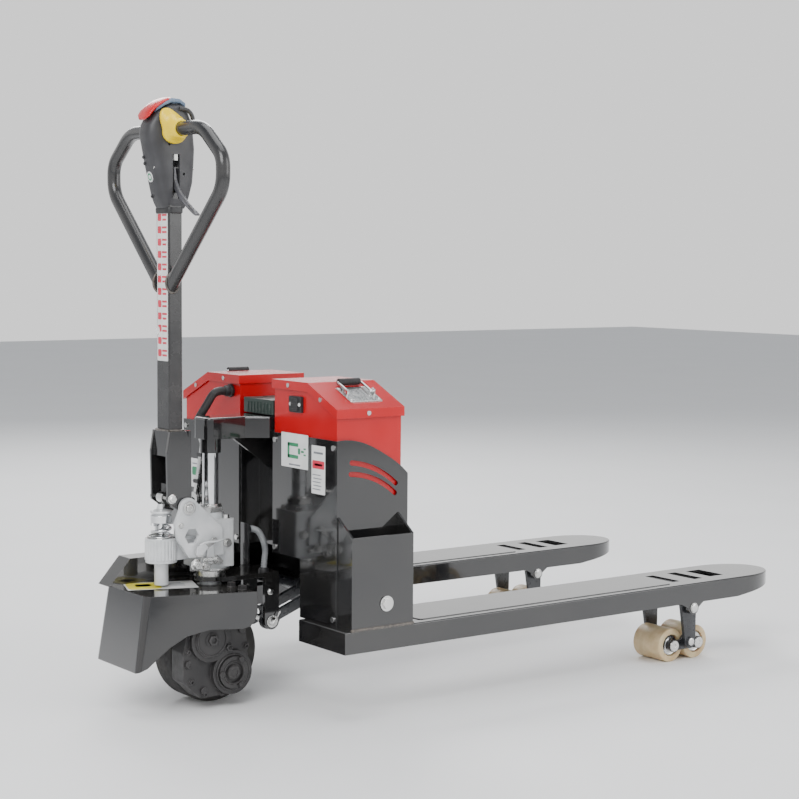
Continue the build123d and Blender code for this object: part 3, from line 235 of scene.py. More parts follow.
finish_material("tiller_paint", (0.020, 0.020, 0.021), (0.034, 0.033, 0.033), (0.2, 0.32),
                grain=(480.0, 0.10, 0.0003), worn=(0.14, 0.14, 0.14), Coat_Weight=0.3, Coat_Roughness=0.15)
finish_material("head_plastic", (0.034, 0.034, 0.037), (0.050, 0.050, 0.054), (0.36, 0.5), patch=30.0,
                grain=(1500.0, 0.35, 0.0002), edge=1.0, worn=(0.12, 0.12, 0.125))
finish_material("yellow_plastic", (0.90, 0.62, 0.0), (0.95, 0.69, 0.001), (0.28, 0.4), patch=20.0,
                grain=(900.0, 0.1, 0.0002), worn=(0.96, 0.60, 0.03), Coat_Weight=0.1)
finish_material("red_plastic", (0.56, 0.004, 0.008), (0.64, 0.010, 0.014), (0.25, 0.4), patch=40.0,
                grain=(900.0, 0.12, 0.0002), Subsurface_Weight=0.06, Coat_Weight=0.25)
finish_material("blue_plastic", (0.10, 0.15, 0.23), (0.15, 0.21, 0.30), (0.3, 0.45), patch=40.0,
                grain=(900.0, 0.15, 0.0002))
finish_material("lever_grey", (0.06, 0.06, 0.066), (0.10, 0.10, 0.11), (0.22, 0.36), patch=40.0, edge=1.4,
                worn=(0.45, 0.45, 0.46))
finish_material("linkage_dark", (0.016, 0.017, 0.020), (0.034, 0.036, 0.041), (0.22, 0.4), patch=26.0,
                grain=(300.0, 0.15, 0.0005), worn=(0.22, 0.22, 0.23), Coat_Weight=0.25)
finish_material("roller_cream", (0.52, 0.38, 0.20), (0.70, 0.56, 0.34), (0.28, 0.5), patch=34.0,
                grain=(260.0, 0.12, 0.0005), worn=(0.42, 0.30, 0.16), Subsurface_Weight=0.1)
finish_material("drive_tyre", (0.014, 0.013, 0.013), (0.040, 0.037, 0.034), (0.6, 0.85), patch=30.0,
                grain=(420.0, 0.4, 0.0007), edge=2.0, worn=(0.09, 0.08, 0.075))
finish_material("grip_black", (0.012, 0.011, 0.012), (0.026, 0.024, 0.025), (0.45, 0.65), patch=60.0,
                grain=(1300.0, 0.3, 0.0002), edge=0.6)
finish_material("label_white", (0.70, 0.71, 0.70), (0.80, 0.80, 0.79), (0.28, 0.4), patch=30.0,
                grain=(1200.0, 0.05, 0.0001), edge=0.2)
finish_material("label_red", (0.58, 0.02, 0.05), (0.70, 0.04, 0.08), (0.3, 0.45), patch=60.0, edge=0.1)
finish_material("label_green", (0.02, 0.20, 0.09), (0.05, 0.30, 0.14), (0.3, 0.45), patch=60.0, edge=0.1)
finish_material("label_yellow", (0.78, 0.66, 0.04), (0.88, 0.78, 0.10), (0.3, 0.42), patch=50.0, edge=0.1)
finish_material("label_grey", (0.16, 0.17, 0.19), (0.26, 0.27, 0.29), (0.35, 0.5), patch=60.0, edge=0.1)
finish_material("weld", (0.05, 0.045, 0.04), (0.14, 0.12, 0.10), (0.3, 0.5), patch=160.0,
                grain=(500.0, 0.5, 0.0006), edge=0.5, Coat_Weight=0.3)
slot_of = {entry["node"]: entry["material_slot"] for entry in frame["record"]["subparts"]}
for node, obj in frame["nodes"].items():
    for holder in obj.material_slots:
        holder.material = materials[slot_of[node]]
    if not obj.material_slots:
        obj.data.materials.append(materials[slot_of[node]])


# ==== mesh helpers ===============================================================================
def piece(name, mesh, body, *slots, replaces=(), sharp=32.0):
    """Turn a bmesh into a named piece that rides on a body, with one material for each slot."""
    data = bpy.data.meshes.new(name)
    bmesh.ops.recalc_face_normals(mesh, faces=mesh.faces)
    for face in mesh.faces:
        face.smooth = True
    for edge in mesh.edges:
        if len(edge.link_faces) == 2 and edge.calc_face_angle(0.0) > radians(sharp):
            edge.smooth = False
    mesh.to_mesh(data)
    mesh.free()
    obj = bpy.data.objects.new(name, data)
    scene.collection.objects.link(obj)
    for key in slots:
        data.materials.append(materials[key])
    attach(obj, body)
    if replaces:
        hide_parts(*replaces)
    return obj


def ring_frame(axis):
    """Two unit vectors square to an axis."""
    axis = Vector(axis).normalized()
    side = Vector((0, 0, 1)) if abs(axis.z) < 0.9 else Vector((1, 0, 0))
    first = axis.cross(side).normalized()
    return first, axis.cross(first).normalized()


def around(first, second, i, sides):
    """The direction of corner i of a ring with a number of sides, in the plane of two vectors."""
    return first * cos(2 * pi * i / sides) + second * sin(2 * pi * i / sides)


def skin(mesh, rings, closed_ends=True, loop=False, index=0):
    """Join rings of points by quads, and cap the two ends."""
    rows = [[mesh.verts.new(point) for point in ring] for ring in rings]
    count = len(rows[0])
    pairs = list(zip(rows, rows[1:])) + ([(rows[-1], rows[0])] if loop else [])
    faces = []
    for low, high in pairs:
        for i in range(count):
            j = (i + 1) % count
            faces.append(mesh.faces.new((low[i], low[j], high[j], high[i])))
    if closed_ends and not loop:
        faces.append(mesh.faces.new(rows[0][::-1]))
        faces.append(mesh.faces.new(rows[-1]))
    for face in faces:
        face.material_index = index


def lathe(mesh, origin, axis, profile, sides=40, index=0, loop=False):
    """Revolve (radius, distance along the axis) pairs, in millimetres, about an axis through the origin."""
    first, second = ring_frame(axis)
    axis = Vector(axis).normalized()
    rings = []
    for radius, along in profile:
        centre = origin + axis * along * MM
        rings.append([centre + around(first, second, i, sides) * radius * MM
                      for i in range(sides)])
    skin(mesh, rings, loop=loop, index=index)


def prism(mesh, points, low, high, index=0, chamfer=0.0):
    """Extrude points that lie in a plane from offset low to offset high, each a vector, with an eased rim."""
    centre = sum(points, Vector()) / len(points)
    rings = [[p + low for p in points]]
    if chamfer:
        depth = (high - low).normalized() * chamfer
        shrink = [p + (centre - p).normalized() * chamfer for p in points]
        rings += [[p + high - depth for p in points], [p + high for p in shrink]]
    else:
        rings.append([p + high for p in points])
    skin(mesh, rings, index=index)


def sweep(mesh, path, radius, sides=16, index=0):
    """A tube along a path of points in metres; radius in mm, or a function of the arc length in mm."""
    run, tangents = [0.0], []
    for a, b in zip(path, path[1:]):
        run.append(run[-1] + (b - a).length / MM)
    for i in range(len(path)):
        tangents.append((path[min(i + 1, len(path) - 1)] - path[max(i - 1, 0)]).normalized())
    first = ring_frame(tangents[0])[0]
    rings = []
    for point, tangent, along in zip(path, tangents, run):
        first = (first - tangent * first.dot(tangent)).normalized()
        second = tangent.cross(first)
        r = (radius(along) if callable(radius) else radius) * MM
        rings.append([point + around(first, second, i, sides) * r
                      for i in range(sides)])
    skin(mesh, rings, index=index)


def smooth_path(points, step=1.0):
    """Catmull-Rom points about step millimetres apart through the given ones."""
    ends = [points[0] * 2 - points[1]] + list(points) + [points[-1] * 2 - points[-2]]
    path = []
    for a, b, c, d in zip(ends, ends[1:], ends[2:], ends[3:]):
        count = max(2, int((c - b).length / MM / step))
        for i in range(count):
            t = i / count
            path.append(0.5 * (2 * b + (c - a) * t + (2 * a - 5 * b + 4 * c - d) * t * t
                               + (3 * b - a - 3 * c + d) * t ** 3))
    path.append(points[-1])
    return path


def rounded_rectangle(width, height, radius, steps=4):
    """Corners of a rounded rectangle about (0, 0), anticlockwise."""
    points = []
    for k, (sx, sy) in enumerate(((1, 1), (-1, 1), (-1, -1), (1, -1))):
        for i in range(steps + 1):
            angle = (k + i / steps) * pi / 2
            points.append((sx * (width / 2 - radius) + radius * cos(angle),
                           sy * (height / 2 - radius) + radius * sin(angle)))
    return points


def hexagon(mesh, origin, axis, across, height, washer=0.0, index=0, socket=0.0, sides=6):
    """A bolt head with an eased rim, on a washer where one is given, with a socket where one is given."""
    axis = Vector(axis).normalized()
    first, second = ring_frame(axis)
    base = 0.0
    if washer:
        lathe(mesh, origin, axis, ((washer * 0.4, 0), (washer, 0), (washer, 1.2), (washer * 0.93, 1.6),
                                   (washer * 0.4, 1.6)), 28, index)
        base = 1.5
    reach = across / 2 / cos(pi / sides)
    rings = []
    for scale, level_mm in ((1.0, base), (1.0, base + height * 0.85), (0.88, base + height)):
        rings.append([origin + axis * level_mm * MM
                      + around(first, second, i, sides) * reach * scale * MM
                      for i in range(sides)])
    if socket:
        for scale, level_mm in ((socket / reach, base + height), (socket / reach, base + height * 0.4)):
            rings.append([origin + axis * level_mm * MM
                          + around(first, second, i, sides) * reach * scale * MM
                          for i in range(sides)])
    skin(mesh, rings, index=index)


def label(name, body, centre, across, upward, size, marks, *slots, thick=0.3):
    """A thin printed plate: marks are (material, u, v, width, height) in millimetres about its centre."""
    across, upward = Vector(across).normalized(), Vector(upward).normalized()
    face = across.cross(upward)
    mesh = bmesh.new()

    def flat(u, v, width, height, radius):
        return [centre + (across * (u + a) + upward * (v + b)) * MM
                for a, b in rounded_rectangle(width, height, radius)]

    prism(mesh, flat(0, 0, *size, 1.5), face * 0, face * thick * MM)
    for index, u, v, width, height in marks:
        prism(mesh, flat(u, v, width, height, min(width, height) * 0.2), face * thick * 0.5 * MM,
              face * (thick + 0.12) * MM, index)
    return piece(name, mesh, body, *slots)


# ==== control head ===============================================================================
LOOP = at(-192, 0, 1131)                        # axis of the handle loop's top run
HEAD_SECTIONS = (                               # height, operator side, far side, half width
    (980, -206, -159, 24.0), (990, -211, -154, 26.5), (1004, -216.5, -149, 28.0), (1030, -223, -141.5, 28.6),
    (1062, -231, -138.5, 29.0), (1096, -238, -136.5, 29.0), (1122, -243.5, -139, 29.0),
    (1138, -240.5, -141.5, 29.0), (1152, -233, -145.5, 28.6), (1163, -226, -150, 27.0),
    (1172, -213, -154, 24.0), (1179, -201, -158, 19.0), (1183, -190, -164, 12.0))


def squircle(centre, half_x, half_y, height, power=3.6, sides=64):
    """Points of a rounded rectangle-like curve at one height, in millimetres from the heel."""
    points = []
    for i in range(sides):
        angle = 2 * pi * i / sides
        c, s = cos(angle), sin(angle)
        points.append(at(centre + half_x * abs(c) ** (2 / power) * (1 if c > 0 else -1),
                         half_y * abs(s) ** (2 / power) * (1 if s > 0 else -1), height))
    return points


def cutter(build):
    """A temporary object to cut with, made by a function that fills a bmesh."""
    mesh = bmesh.new()
    build(mesh)
    bmesh.ops.recalc_face_normals(mesh, faces=mesh.faces)
    data = bpy.data.meshes.new("cutter")
    mesh.to_mesh(data)
    mesh.free()
    obj = bpy.data.objects.new("cutter", data)
    scene.collection.objects.link(obj)
    return obj


def cut(mesh, *builders):
    """Subtract solids from a bmesh and return the result."""
    body = cutter(lambda target: copy_mesh(mesh, target))
    mesh.free()
    tools = [cutter(build) for build in builders]
    for tool in tools:
        modifier = body.modifiers.new("cut", "BOOLEAN")
        modifier.operation = "DIFFERENCE"
        modifier.solver = "EXACT"
        modifier.object = tool
    result = bmesh.new()
    result.from_object(body, bpy.context.evaluated_depsgraph_get())
    for obj in (body, *tools):
        bpy.data.objects.remove(obj)
    return result


def copy_mesh(source, target):
    """Copy one bmesh into another."""
    data = bpy.data.meshes.new("copy")
    source.to_mesh(data)
    target.from_mesh(data)
    bpy.data.meshes.remove(data)


def brick(mesh, low, high, index=0):
    """A box between two corners."""
    corners = [Vector((x, y, low.z)) for x, y in ((low.x, low.y), (high.x, low.y), (high.x, high.y),
                                                  (low.x, high.y))]
    prism(mesh, corners, Vector(), Vector((0, 0, high.z - low.z)), index)


def head_shells():
    """Two moulded shells that meet on the middle plane, with the lever's slot in the near one."""
    whole = bmesh.new()
    skin(whole, [squircle((a + b) / 2, (b - a) / 2, w, z) for z, a, b, w in HEAD_SECTIONS])
    slot_low, slot_high = at(-192.5, -45, 998), at(-177.5, -12, 1084)
    sockets = [(-206, 1116), (-200, 1103), (-168, 1046)]

    def screw_wells(mesh):
        for x, z in sockets:
            lathe(mesh, at(x, -40, z), (0, 1, 0), ((2.6, 0), (2.6, 16)), 20)

    whole = cut(whole, lambda m: brick(m, slot_low, slot_high),
                lambda m: lathe(m, LOOP - Vector((0, 0.045, 0)), (0, 1, 0), ((18.4, 0), (18.4, 90)), 40),
                screw_wells)
    for side, sign in (("left", 1), ("right", -1)):
        half = bmesh.new()
        copy_mesh(whole, half)
        cut_face = bmesh.ops.bisect_plane(
            half, geom=half.verts[:] + half.edges[:] + half.faces[:], dist=1e-6,
            plane_co=(0, sign * 0.00015, 0), plane_no=(0, -sign, 0), clear_outer=True)
        rim = [e for e in cut_face["geom_cut"] if isinstance(e, bmesh.types.BMEdge)]
        bmesh.ops.holes_fill(half, edges=rim)
        piece("shell_" + side, half, "tiller", "head_plastic", replaces=("head_shell_" + side,), sharp=38)
    whole.free()


def throttle_wings():
    """The twist throttle: on each side a kidney-shaped wing that narrows into a cone round the tube."""
    mesh = bmesh.new()
    lobe = radians(122)
    for sign in (-1, 1):
        rings = []
        for y, base, lobe_size, power in ((30.2, 18.2, 0, 1), (30.2, 25.5, 15, 3.2),
                                          (31.2, 27.6, 17.5, 3.2), (36.5, 27.8, 17.0, 3.2),
                                          (38.8, 26.0, 15.0, 3.4), (41.5, 23.6, 9.0, 3.6),
                                          (47.0, 21.8, 4.0, 4.0), (55.0, 19.8, 1.0, 4.0),
                                          (63.0, 17.6, 0, 4.0), (64.0, 16.6, 0, 1), (64.0, 13.8, 0, 1)):
            ring = []
            for i in range(72):
                angle = 2 * pi * i / 72
                away = atan2(sin(angle - lobe), cos(angle - lobe))
                waist = atan2(sin(angle - radians(180)), cos(angle - radians(180)))
                r = base + lobe_size * exp(-(away * 1.9) ** 2) - (lobe_size * 0.16) * exp(-(waist * 2.6) ** 2)
                ring.append(LOOP + Vector((cos(angle) * r, sign * y, sin(angle) * r)) * MM)
            rings.append(ring)
        skin(mesh, rings, closed_ends=False, loop=True)
    piece("throttle_wings", mesh, "throttle", "yellow_plastic", replaces=("throttle",), sharp=50)
    screws = bmesh.new()
    for sign in (-1, 1):
        lathe(screws, LOOP + Vector((-0.0165, sign * 0.0385, 0.0175)), (0, sign, 0),
              ((2.4, -1), (2.4, 0.3), (1.8, 0.8), (0.9, 0.8), (0.9, -0.6)), 20)
    piece("throttle_screws", screws, "throttle", "black_plastic")


def belly_cap():
    """The red stop button: a crowned pad that follows the head's brow."""
    mesh = bmesh.new()
    arc = [(-247, 1153), (-243, 1160.5), (-237, 1168.5), (-230, 1175.5), (-221, 1182.5), (-211, 1188.5),
           (-200, 1193.5), (-188, 1197)]
    rings = []
    for i, (x, z) in enumerate(arc):
        t = i / (len(arc) - 1)
        crown = 1 - (2 * t - 1) ** 6 * 0.5
        inward = Vector((0.62 - 0.35 * t, 0, -0.62 - 0.3 * t)).normalized()
        ring = []
        for k in range(40):
            angle = 2 * pi * k / 40
            c, s = cos(angle), sin(angle)
            wide = 25.0 * crown * abs(c) ** 0.75 * (1 if c > 0 else -1)
            deep = 4.6 * crown * abs(s) ** 0.8 * (1 if s > 0 else -1)
            ring.append(at(x, wide, z) + inward * (4.8 - deep) * MM)
        rings.append(ring)
    skin(mesh, rings)
    lathe(mesh, at(-214, 0, 1168), (-cos(radians(42)), 0, sin(radians(42))), ((9.0, -6), (9.0, 9)), 32)
    piece("belly_cap", mesh, "belly", "red_plastic", replaces=("belly_button",), sharp=60)


def head_trim():
    """The collar, brow strip, wing guard, sticker and screws of the head."""
    collar = bmesh.new()
    rings = []
    for z, half_x, half_y in ((970, 17.2, 27.0), (971.5, 18.4, 28.2), (979, 19.0, 28.6), (982, 18.0, 27.6)):
        rings.append(squircle(-185, half_x, half_y, z, 5.0))
    skin(collar, rings)
    piece("neck_collar", collar, "tiller", "black_plastic")
    brow = bmesh.new()
    rings = []
    for x, z, wide in ((-224, 1171.5, 22.0), (-206, 1184, 24.5), (-190, 1190.5, 23.0), (-172, 1190, 21.0),
                       (-158, 1183, 17.0)):
        rings.append([at(x, a * (wide / 25), z - 3 + b) for a, b in rounded_rectangle(50, 9, 3.5, 5)])
    skin(brow, rings)
    brow = cut(brow, lambda m: brick(m, at(-186.5, -15.5, 1150), at(-163.5, 15.5, 1200)),
               lambda m: lathe(m, at(-214, 0, 1168), (-cos(radians(42)), 0, sin(radians(42))),
                               ((10.0, -30), (10.0, 40)), 32))
    piece("brow_strip", brow, "tiller", "blue_plastic", sharp=40)
    guard = bmesh.new()
    path = smooth_path([at(-176, -25, 1172), at(-160, -27, 1170), at(-150, -28, 1160), at(-146, -27, 1146)],
                       2)
    sweep(guard, path, lambda s: 4.2, 12)
    piece("head_guard", guard, "tiller", "head_plastic")
    sticker = bmesh.new()
    tilt = (-0.976, 0, -0.219)
    lathe(sticker, at(-225.6, 2, 1040), tilt, ((10.5, -1.5), (10.5, 0.5), (10.2, 0.7)), 40, 0)
    lathe(sticker, at(-225.6, 2, 1040), tilt, ((4.0, 0.5), (7.4, 0.8), (4.6, 0.8), (4.0, 0.6)), 40, 1)
    piece("round_sticker", sticker, "tiller", "label_white", "label_green")
    screws = bmesh.new()
    for x, z in ((-234, 1066), (-218, 1003), (-236.5, 1078)):
        lathe(screws, at(x + 3, 11, z), tilt, ((3.2, 0), (3.2, 2.6), (2.4, 3.4), (1.2, 3.4), (1.2, 1.8)), 18)
    piece("head_screws", screws, "tiller", "black_plastic")
    marks = []
    for i in range(12):
        row = 132 - 24 * i
        marks += [(1, -11, row, 14, 14), (1, 8, row + 4.5, 19, 4), (1, 8, row - 4.5, 15 + 3 * (i % 2), 4)]
    label("pole_label", "tiller", at(-200.05, 0, 830.5), (0, -1, 0), (0, 0, 1), (42, 295), marks,
          "label_white", "label_red")
    tip = bmesh.new()
    brick(tip, at(-188.5, -28.2, 1072), at(-181.5, -20, 1085))
    piece("slot_tip", tip, "tiller", "label_white")


def lever_blade():
    """The lift lever: a pressed blade that leaves the slot and kicks out at its tip."""
    mesh = bmesh.new()
    path = smooth_path([at(POLE_X, -16, 1058), at(POLE_X, -23, 1032), at(POLE_X, -42, 1007),
                        at(POLE_X, -66, 990), at(POLE_X, -90, 976), at(POLE_X, -109, 966)], 2)
    total = len(path) - 1
    rings = []
    for i, point in enumerate(path):
        t = i / total
        tangent = (path[min(i + 1, total)] - path[max(i - 1, 0)]).normalized()
        out = tangent.cross(Vector((1, 0, 0))).normalized()
        wide, thick = 3.0 + 2.4 * t, (7.4 - 4.0 * t) * (1 - 0.5 * max(0, t - 0.93) / 0.07)
        rings.append([point + Vector((1, 0, 0)) * a * MM + out * b * MM
                      for a, b in rounded_rectangle(wide * 2, thick * 2, min(wide, thick) * 0.75, 4)])
    skin(mesh, rings)
    mesh = cut(mesh, lambda m: lathe(m, at(-196, -16, 1058), (1, 0, 0), ((3.05, 0), (3.05, 22)), 24))
    piece("lever_blade", mesh, "lift_lever", "lever_grey", replaces=("lift_lever",), sharp=45)


# ==== tiller =====================================================================================
def tiller_details():
    """Weld beads where the loop meets the pole, yoke bolts, and the plain ring on the pole's side."""
    mesh = bmesh.new()
    for sign in (-1, 1):
        centre = at(-192, sign * 25.5, 835.8)
        ring = [centre + Vector((cos(a) * 14.5, 0, sin(a) * 19.5)) * MM
                for a in (2 * pi * i / 48 for i in range(49))]
        sweep(mesh, ring, lambda s: 2.1 + 0.5 * abs(sin(s * 0.55)), 8)
    foot = [at(x, y, 547) for x, y in ((-201, -26), (-201, 26), (-169, 26), (-169, -26), (-201, -26))]
    sweep(mesh, smooth_path(foot, 3), lambda s: 2.2 + 0.5 * abs(sin(s * 0.6)), 8)
    piece("tiller_welds", mesh, "tiller", "weld", sharp=60)
    bolts = bmesh.new()
    for sign in (-1, 1):
        hexagon(bolts, at(-200, sign * 35, 414), (0, sign, 0), 13, 6, 9.5)
    piece("yoke_bolts", bolts, "tiller", "zinc_steel")
    ring = bmesh.new()
    lathe(ring, at(-200, 18, 742), (-1, 0, 0), ((3.5, -1), (8.0, 0), (8.0, 3), (5.0, 4), (3.5, 3)), 32)
    piece("pole_ring", ring, "tiller", "label_white")


# ==== pump =======================================================================================
def ribbed(mesh, origin, axis, radius, low, high, ribs, depth, index=0):
    """A drum whose side carries fine upright ribs."""
    first, second = ring_frame(axis)
    axis = Vector(axis).normalized()
    sides = ribs * 4
    rings = []
    for along, shrink in ((low, 2.0), (low + 1.5, 0), (high - 1.5, 0), (high, 2.0)):
        ring = []
        for i in range(sides):
            angle = 2 * pi * i / sides
            r = radius - shrink - depth * (0.5 + 0.5 * cos(angle * ribs))
            ring.append(origin + axis * along * MM + (first * cos(angle) + second * sin(angle)) * r * MM)
        rings.append(ring)
    skin(mesh, rings, index=index)


def pump_details():
    """Fittings of the pump casting that the design leaves plain."""
    boss = bmesh.new()
    ribbed(boss, at(PLUNGER_X, 0, 0), (0, 0, 1), 32.4, 290, 332, 30, 1.5)
    boss = cut(boss, lambda m: lathe(m, at(PLUNGER_X, 0, 280), (0, 0, 1), ((24.6, 0), (24.6, 60)), 40))
    piece("pump_ribs", boss, "steer", "pump_silver", sharp=50)
    rims = bmesh.new()
    for low, outer in ((333, 30.0), (336.5, 27.5)):
        lathe(rims, at(PLUNGER_X, 0, low), (0, 0, 1), ((24.6, 0), (outer, 0), (outer + 0.8, 1.2),
                                                       (outer, 2.6), (24.6, 2.6)), 48, loop=True)
    piece("boss_rims", rims, "steer", "zinc_steel")
    clips = bmesh.new()
    for sign in (-1, 1):
        lathe(clips, at(HINGE_X, sign * 47, HINGE_Z), (0, sign, 0),
              ((8.6, 0), (13.2, 0), (13.2, 1.4), (12.4, 1.9), (8.6, 1.9)), 36, loop=True)
        lathe(clips, at(HINGE_X, sign * 47, HINGE_Z), (0, sign, 0),
              ((8.0, 0.2), (8.0, 3.4), (6.6, 4.4), (2.2, 4.4), (1.8, 3.2)), 32)
    piece("hinge_clips", clips, "steer", "zinc_steel")
    valve = bmesh.new()
    sweep(valve, smooth_path([at(-150, -57, 322), at(-132, -57, 326), at(-112, -57, 326),
                              at(-97, -56, 328)], 2), lambda s: 2.3, 10)
    prism(valve, [at(x, -46, z) for x, z in ((-132, 322), (-116, 322), (-112, 296), (-118, 282), (-128, 282),
                                            (-130, 300))], Vector(), Vector((0, -0.005, 0)), chamfer=0.8 * MM)
    prism(valve, [at(x, -51, z) for x, z in ((-156, 318), (-140, 326), (-132, 316), (-146, 300),
                                             (-158, 302))], Vector((0, -0.004, 0)), Vector((0, -0.0085, 0)),
          chamfer=0.8 * MM)
    piece("valve_levers", valve, "steer", "pump_silver", sharp=40)
    spring = bmesh.new()
    turns, length = 9, 30.0
    path = [at(-146 + length * t, -62 + 4.2 * cos(2 * pi * turns * t), 292 + 4.2 * sin(2 * pi * turns * t))
            for t in (i / (turns * 14) for i in range(turns * 14 + 1))]
    sweep(spring, path, 0.8, 8)
    piece("valve_spring", spring, "steer", "zinc_steel", sharp=70)
    heads = bmesh.new()
    for x, z, across in ((-152, 281, 16), (-132, 276, 13), (-108, 288, 12)):
        hexagon(heads, at(x, -45, z), (0, -1, 0), across, 9, across * 0.75, socket=across * 0.22)
    hexagon(heads, at(-186, -45, 362), (0, -1, 0), 8, 4, 6)
    for x, y in ((-124, -28), (-124, 28), (-74, -28), (-74, 28)):
        hexagon(heads, at(x, y, 366), (0, 0, 1), 11, 6, 8, socket=3)
    piece("pump_bolts", heads, "steer", "zinc_steel")
    nut = bmesh.new()
    lathe(nut, at(RAM_X, 0, 0), (0, 0, 1), ((16.3, 389), (22.0, 389), (22.0, 392), (20.5, 394),
                                            (16.3, 394)), 48, loop=True)
    lathe(nut, at(RAM_X, 0, 0), (0, 0, 1), ((30.0, 262), (38.5, 262), (39.4, 264), (38.5, 266.5),
                                            (30.0, 266.5)), 56, loop=True)
    piece("gland_rings", nut, "steer", "zinc_steel")
    cap = bmesh.new()
    lathe(cap, at(PLUNGER_X, 0, 0), (0, 0, 1), ((7.0, 383), (20.0, 383), (21.6, 385), (21.0, 388),
                                                (12.0, 390.5), (7.0, 390.5)), 44, loop=True)
    piece("spring_cap", cap, "plunger", "pump_silver")


# ==== chassis ====================================================================================
PANEL = 13.0                                    # front faces of the panels and the lids
LID_SLOPE = atan2(46, 104)


def cable_and_conduit():
    """The thick battery lead, and the grey corrugated conduit down to the drive."""
    lead = bmesh.new()
    path = smooth_path([at(1, CABLE_Y, CABLE_Z), at(-14, 100, 609.5), at(-28, 99, 604), at(-46, 95, 583),
                        at(-64, 91, 561), at(-73, 85, 551.5), at(-76, 72, 548.3), at(-76, 55, 548),
                        at(-76, 31, 548)], 2)
    sweep(lead, path, lambda s: 8.6 + 0.35 * sin(s * 1.6), 24)
    piece("battery_lead", lead, "chassis", "cable_rubber", replaces=("battery_cable",))
    glands = bmesh.new()
    ribbed(glands, at(17, CABLE_Y, CABLE_Z), (-1, 0, 0), 14.0, 0, 8, 12, 1.0)
    lathe(glands, at(17, CABLE_Y, CABLE_Z), (-1, 0, 0), ((9, 7), (11.8, 8), (11.8, 14), (9.6, 18), (9, 18)),
          36, loop=True)
    piece("lead_gland", glands, "chassis", "black_plastic", replaces=("cable_gland",), sharp=40)
    hose = bmesh.new()
    path = smooth_path([at(-22, -20, 338), at(-8, -20, 338), at(6, -21, 332), at(15, -24, 316),
                        at(19.5, -27, 294), at(16, -29.5, 272), at(14, -30, 250)], 0.55)
    sweep(hose, path, lambda s: 6.0 + 0.75 * sin(s * 2 * pi / 3.4), 20)
    piece("corrugated_conduit", hose, "carrier", "conduit_grey", replaces=("conduit",), sharp=80)
    ends = bmesh.new()
    lathe(ends, at(-22, -20, 338), (1, 0, 0), ((6.2, 0), (9.5, 0), (9.5, 6), (8.0, 8), (6.2, 8)), 24,
          loop=True)
    lathe(ends, at(14, -30, 250), (0, 0, 1), ((6.2, 0), (10.5, 0), (10.5, 5), (8.2, 8), (6.2, 8)), 24,
          loop=True)
    piece("conduit_ends", ends, "carrier", "black_plastic")


def bails():
    """The folding handles: a bright wire bail with a ribbed grip, on its plate."""
    for side, sign in (("right", -1), ("left", 1)):
        across = Vector((0, sign * cos(LID_SLOPE), -sin(LID_SLOPE)))
        normal = Vector((0, sign * sin(LID_SLOPE), cos(LID_SLOPE)))
        pivot = at(98, sign * 244, 644 - 54 * 46 / 104) + normal * 8 * MM

        def on_lid(x, y, z=0.0):
            return pivot + Vector((x * MM, 0, 0)) + across * y * MM + normal * z * MM

        wire = bmesh.new()
        route = [on_lid(-33.5, 0), on_lid(-28, 0), on_lid(-27, -3), on_lid(-27, -20), on_lid(-27, -36),
                 on_lid(-23, -41.5), on_lid(-14, -42), on_lid(14, -42), on_lid(23, -41.5), on_lid(27, -36),
                 on_lid(27, -20), on_lid(27, -3), on_lid(28, 0), on_lid(33.5, 0)]
        sweep(wire, smooth_path(route, 1.5), 2.7, 14)
        piece("bail_wire_" + side, wire, "bail_" + side, "chrome", replaces=("handle_bail_" + side,),
              sharp=60)
        grip = bmesh.new()
        profile = [(2.8, -25), (6.2, -25), (6.8, -24)]
        for k in range(13):
            profile += [(6.8, -23 + 3.6 * k), (6.15, -22.2 + 3.6 * k), (6.15, -21.2 + 3.6 * k),
                        (6.8, -20.4 + 3.6 * k)]
        profile += [(6.8, 24), (6.2, 25), (2.8, 25)]
        lathe(grip, on_lid(0, -42), (1, 0, 0), profile, 32, loop=True)
        piece("bail_grip_" + side, grip, "bail_" + side, "grip_black", sharp=40)
        dish = bmesh.new()
        for reach, low, high, index in ((36.5, -6.2, -5.5, 0), (29, -5.6, -5.2, 0)):
            prism(dish, [on_lid(a, b) for a, b in rounded_rectangle(2 * reach, 2 * reach * 0.78, 5)],
                  normal * low * MM, normal * high * MM, index, 0.3 * MM)
        for x in (-33, 33):
            for y in (-24, 24):
                lathe(dish, on_lid(x, y, -6), normal, ((3.2, 0), (3.0, 1.4), (1.6, 2.0)), 18)
        piece("bail_dish_" + side, dish, "chassis", "zinc_steel", sharp=30)


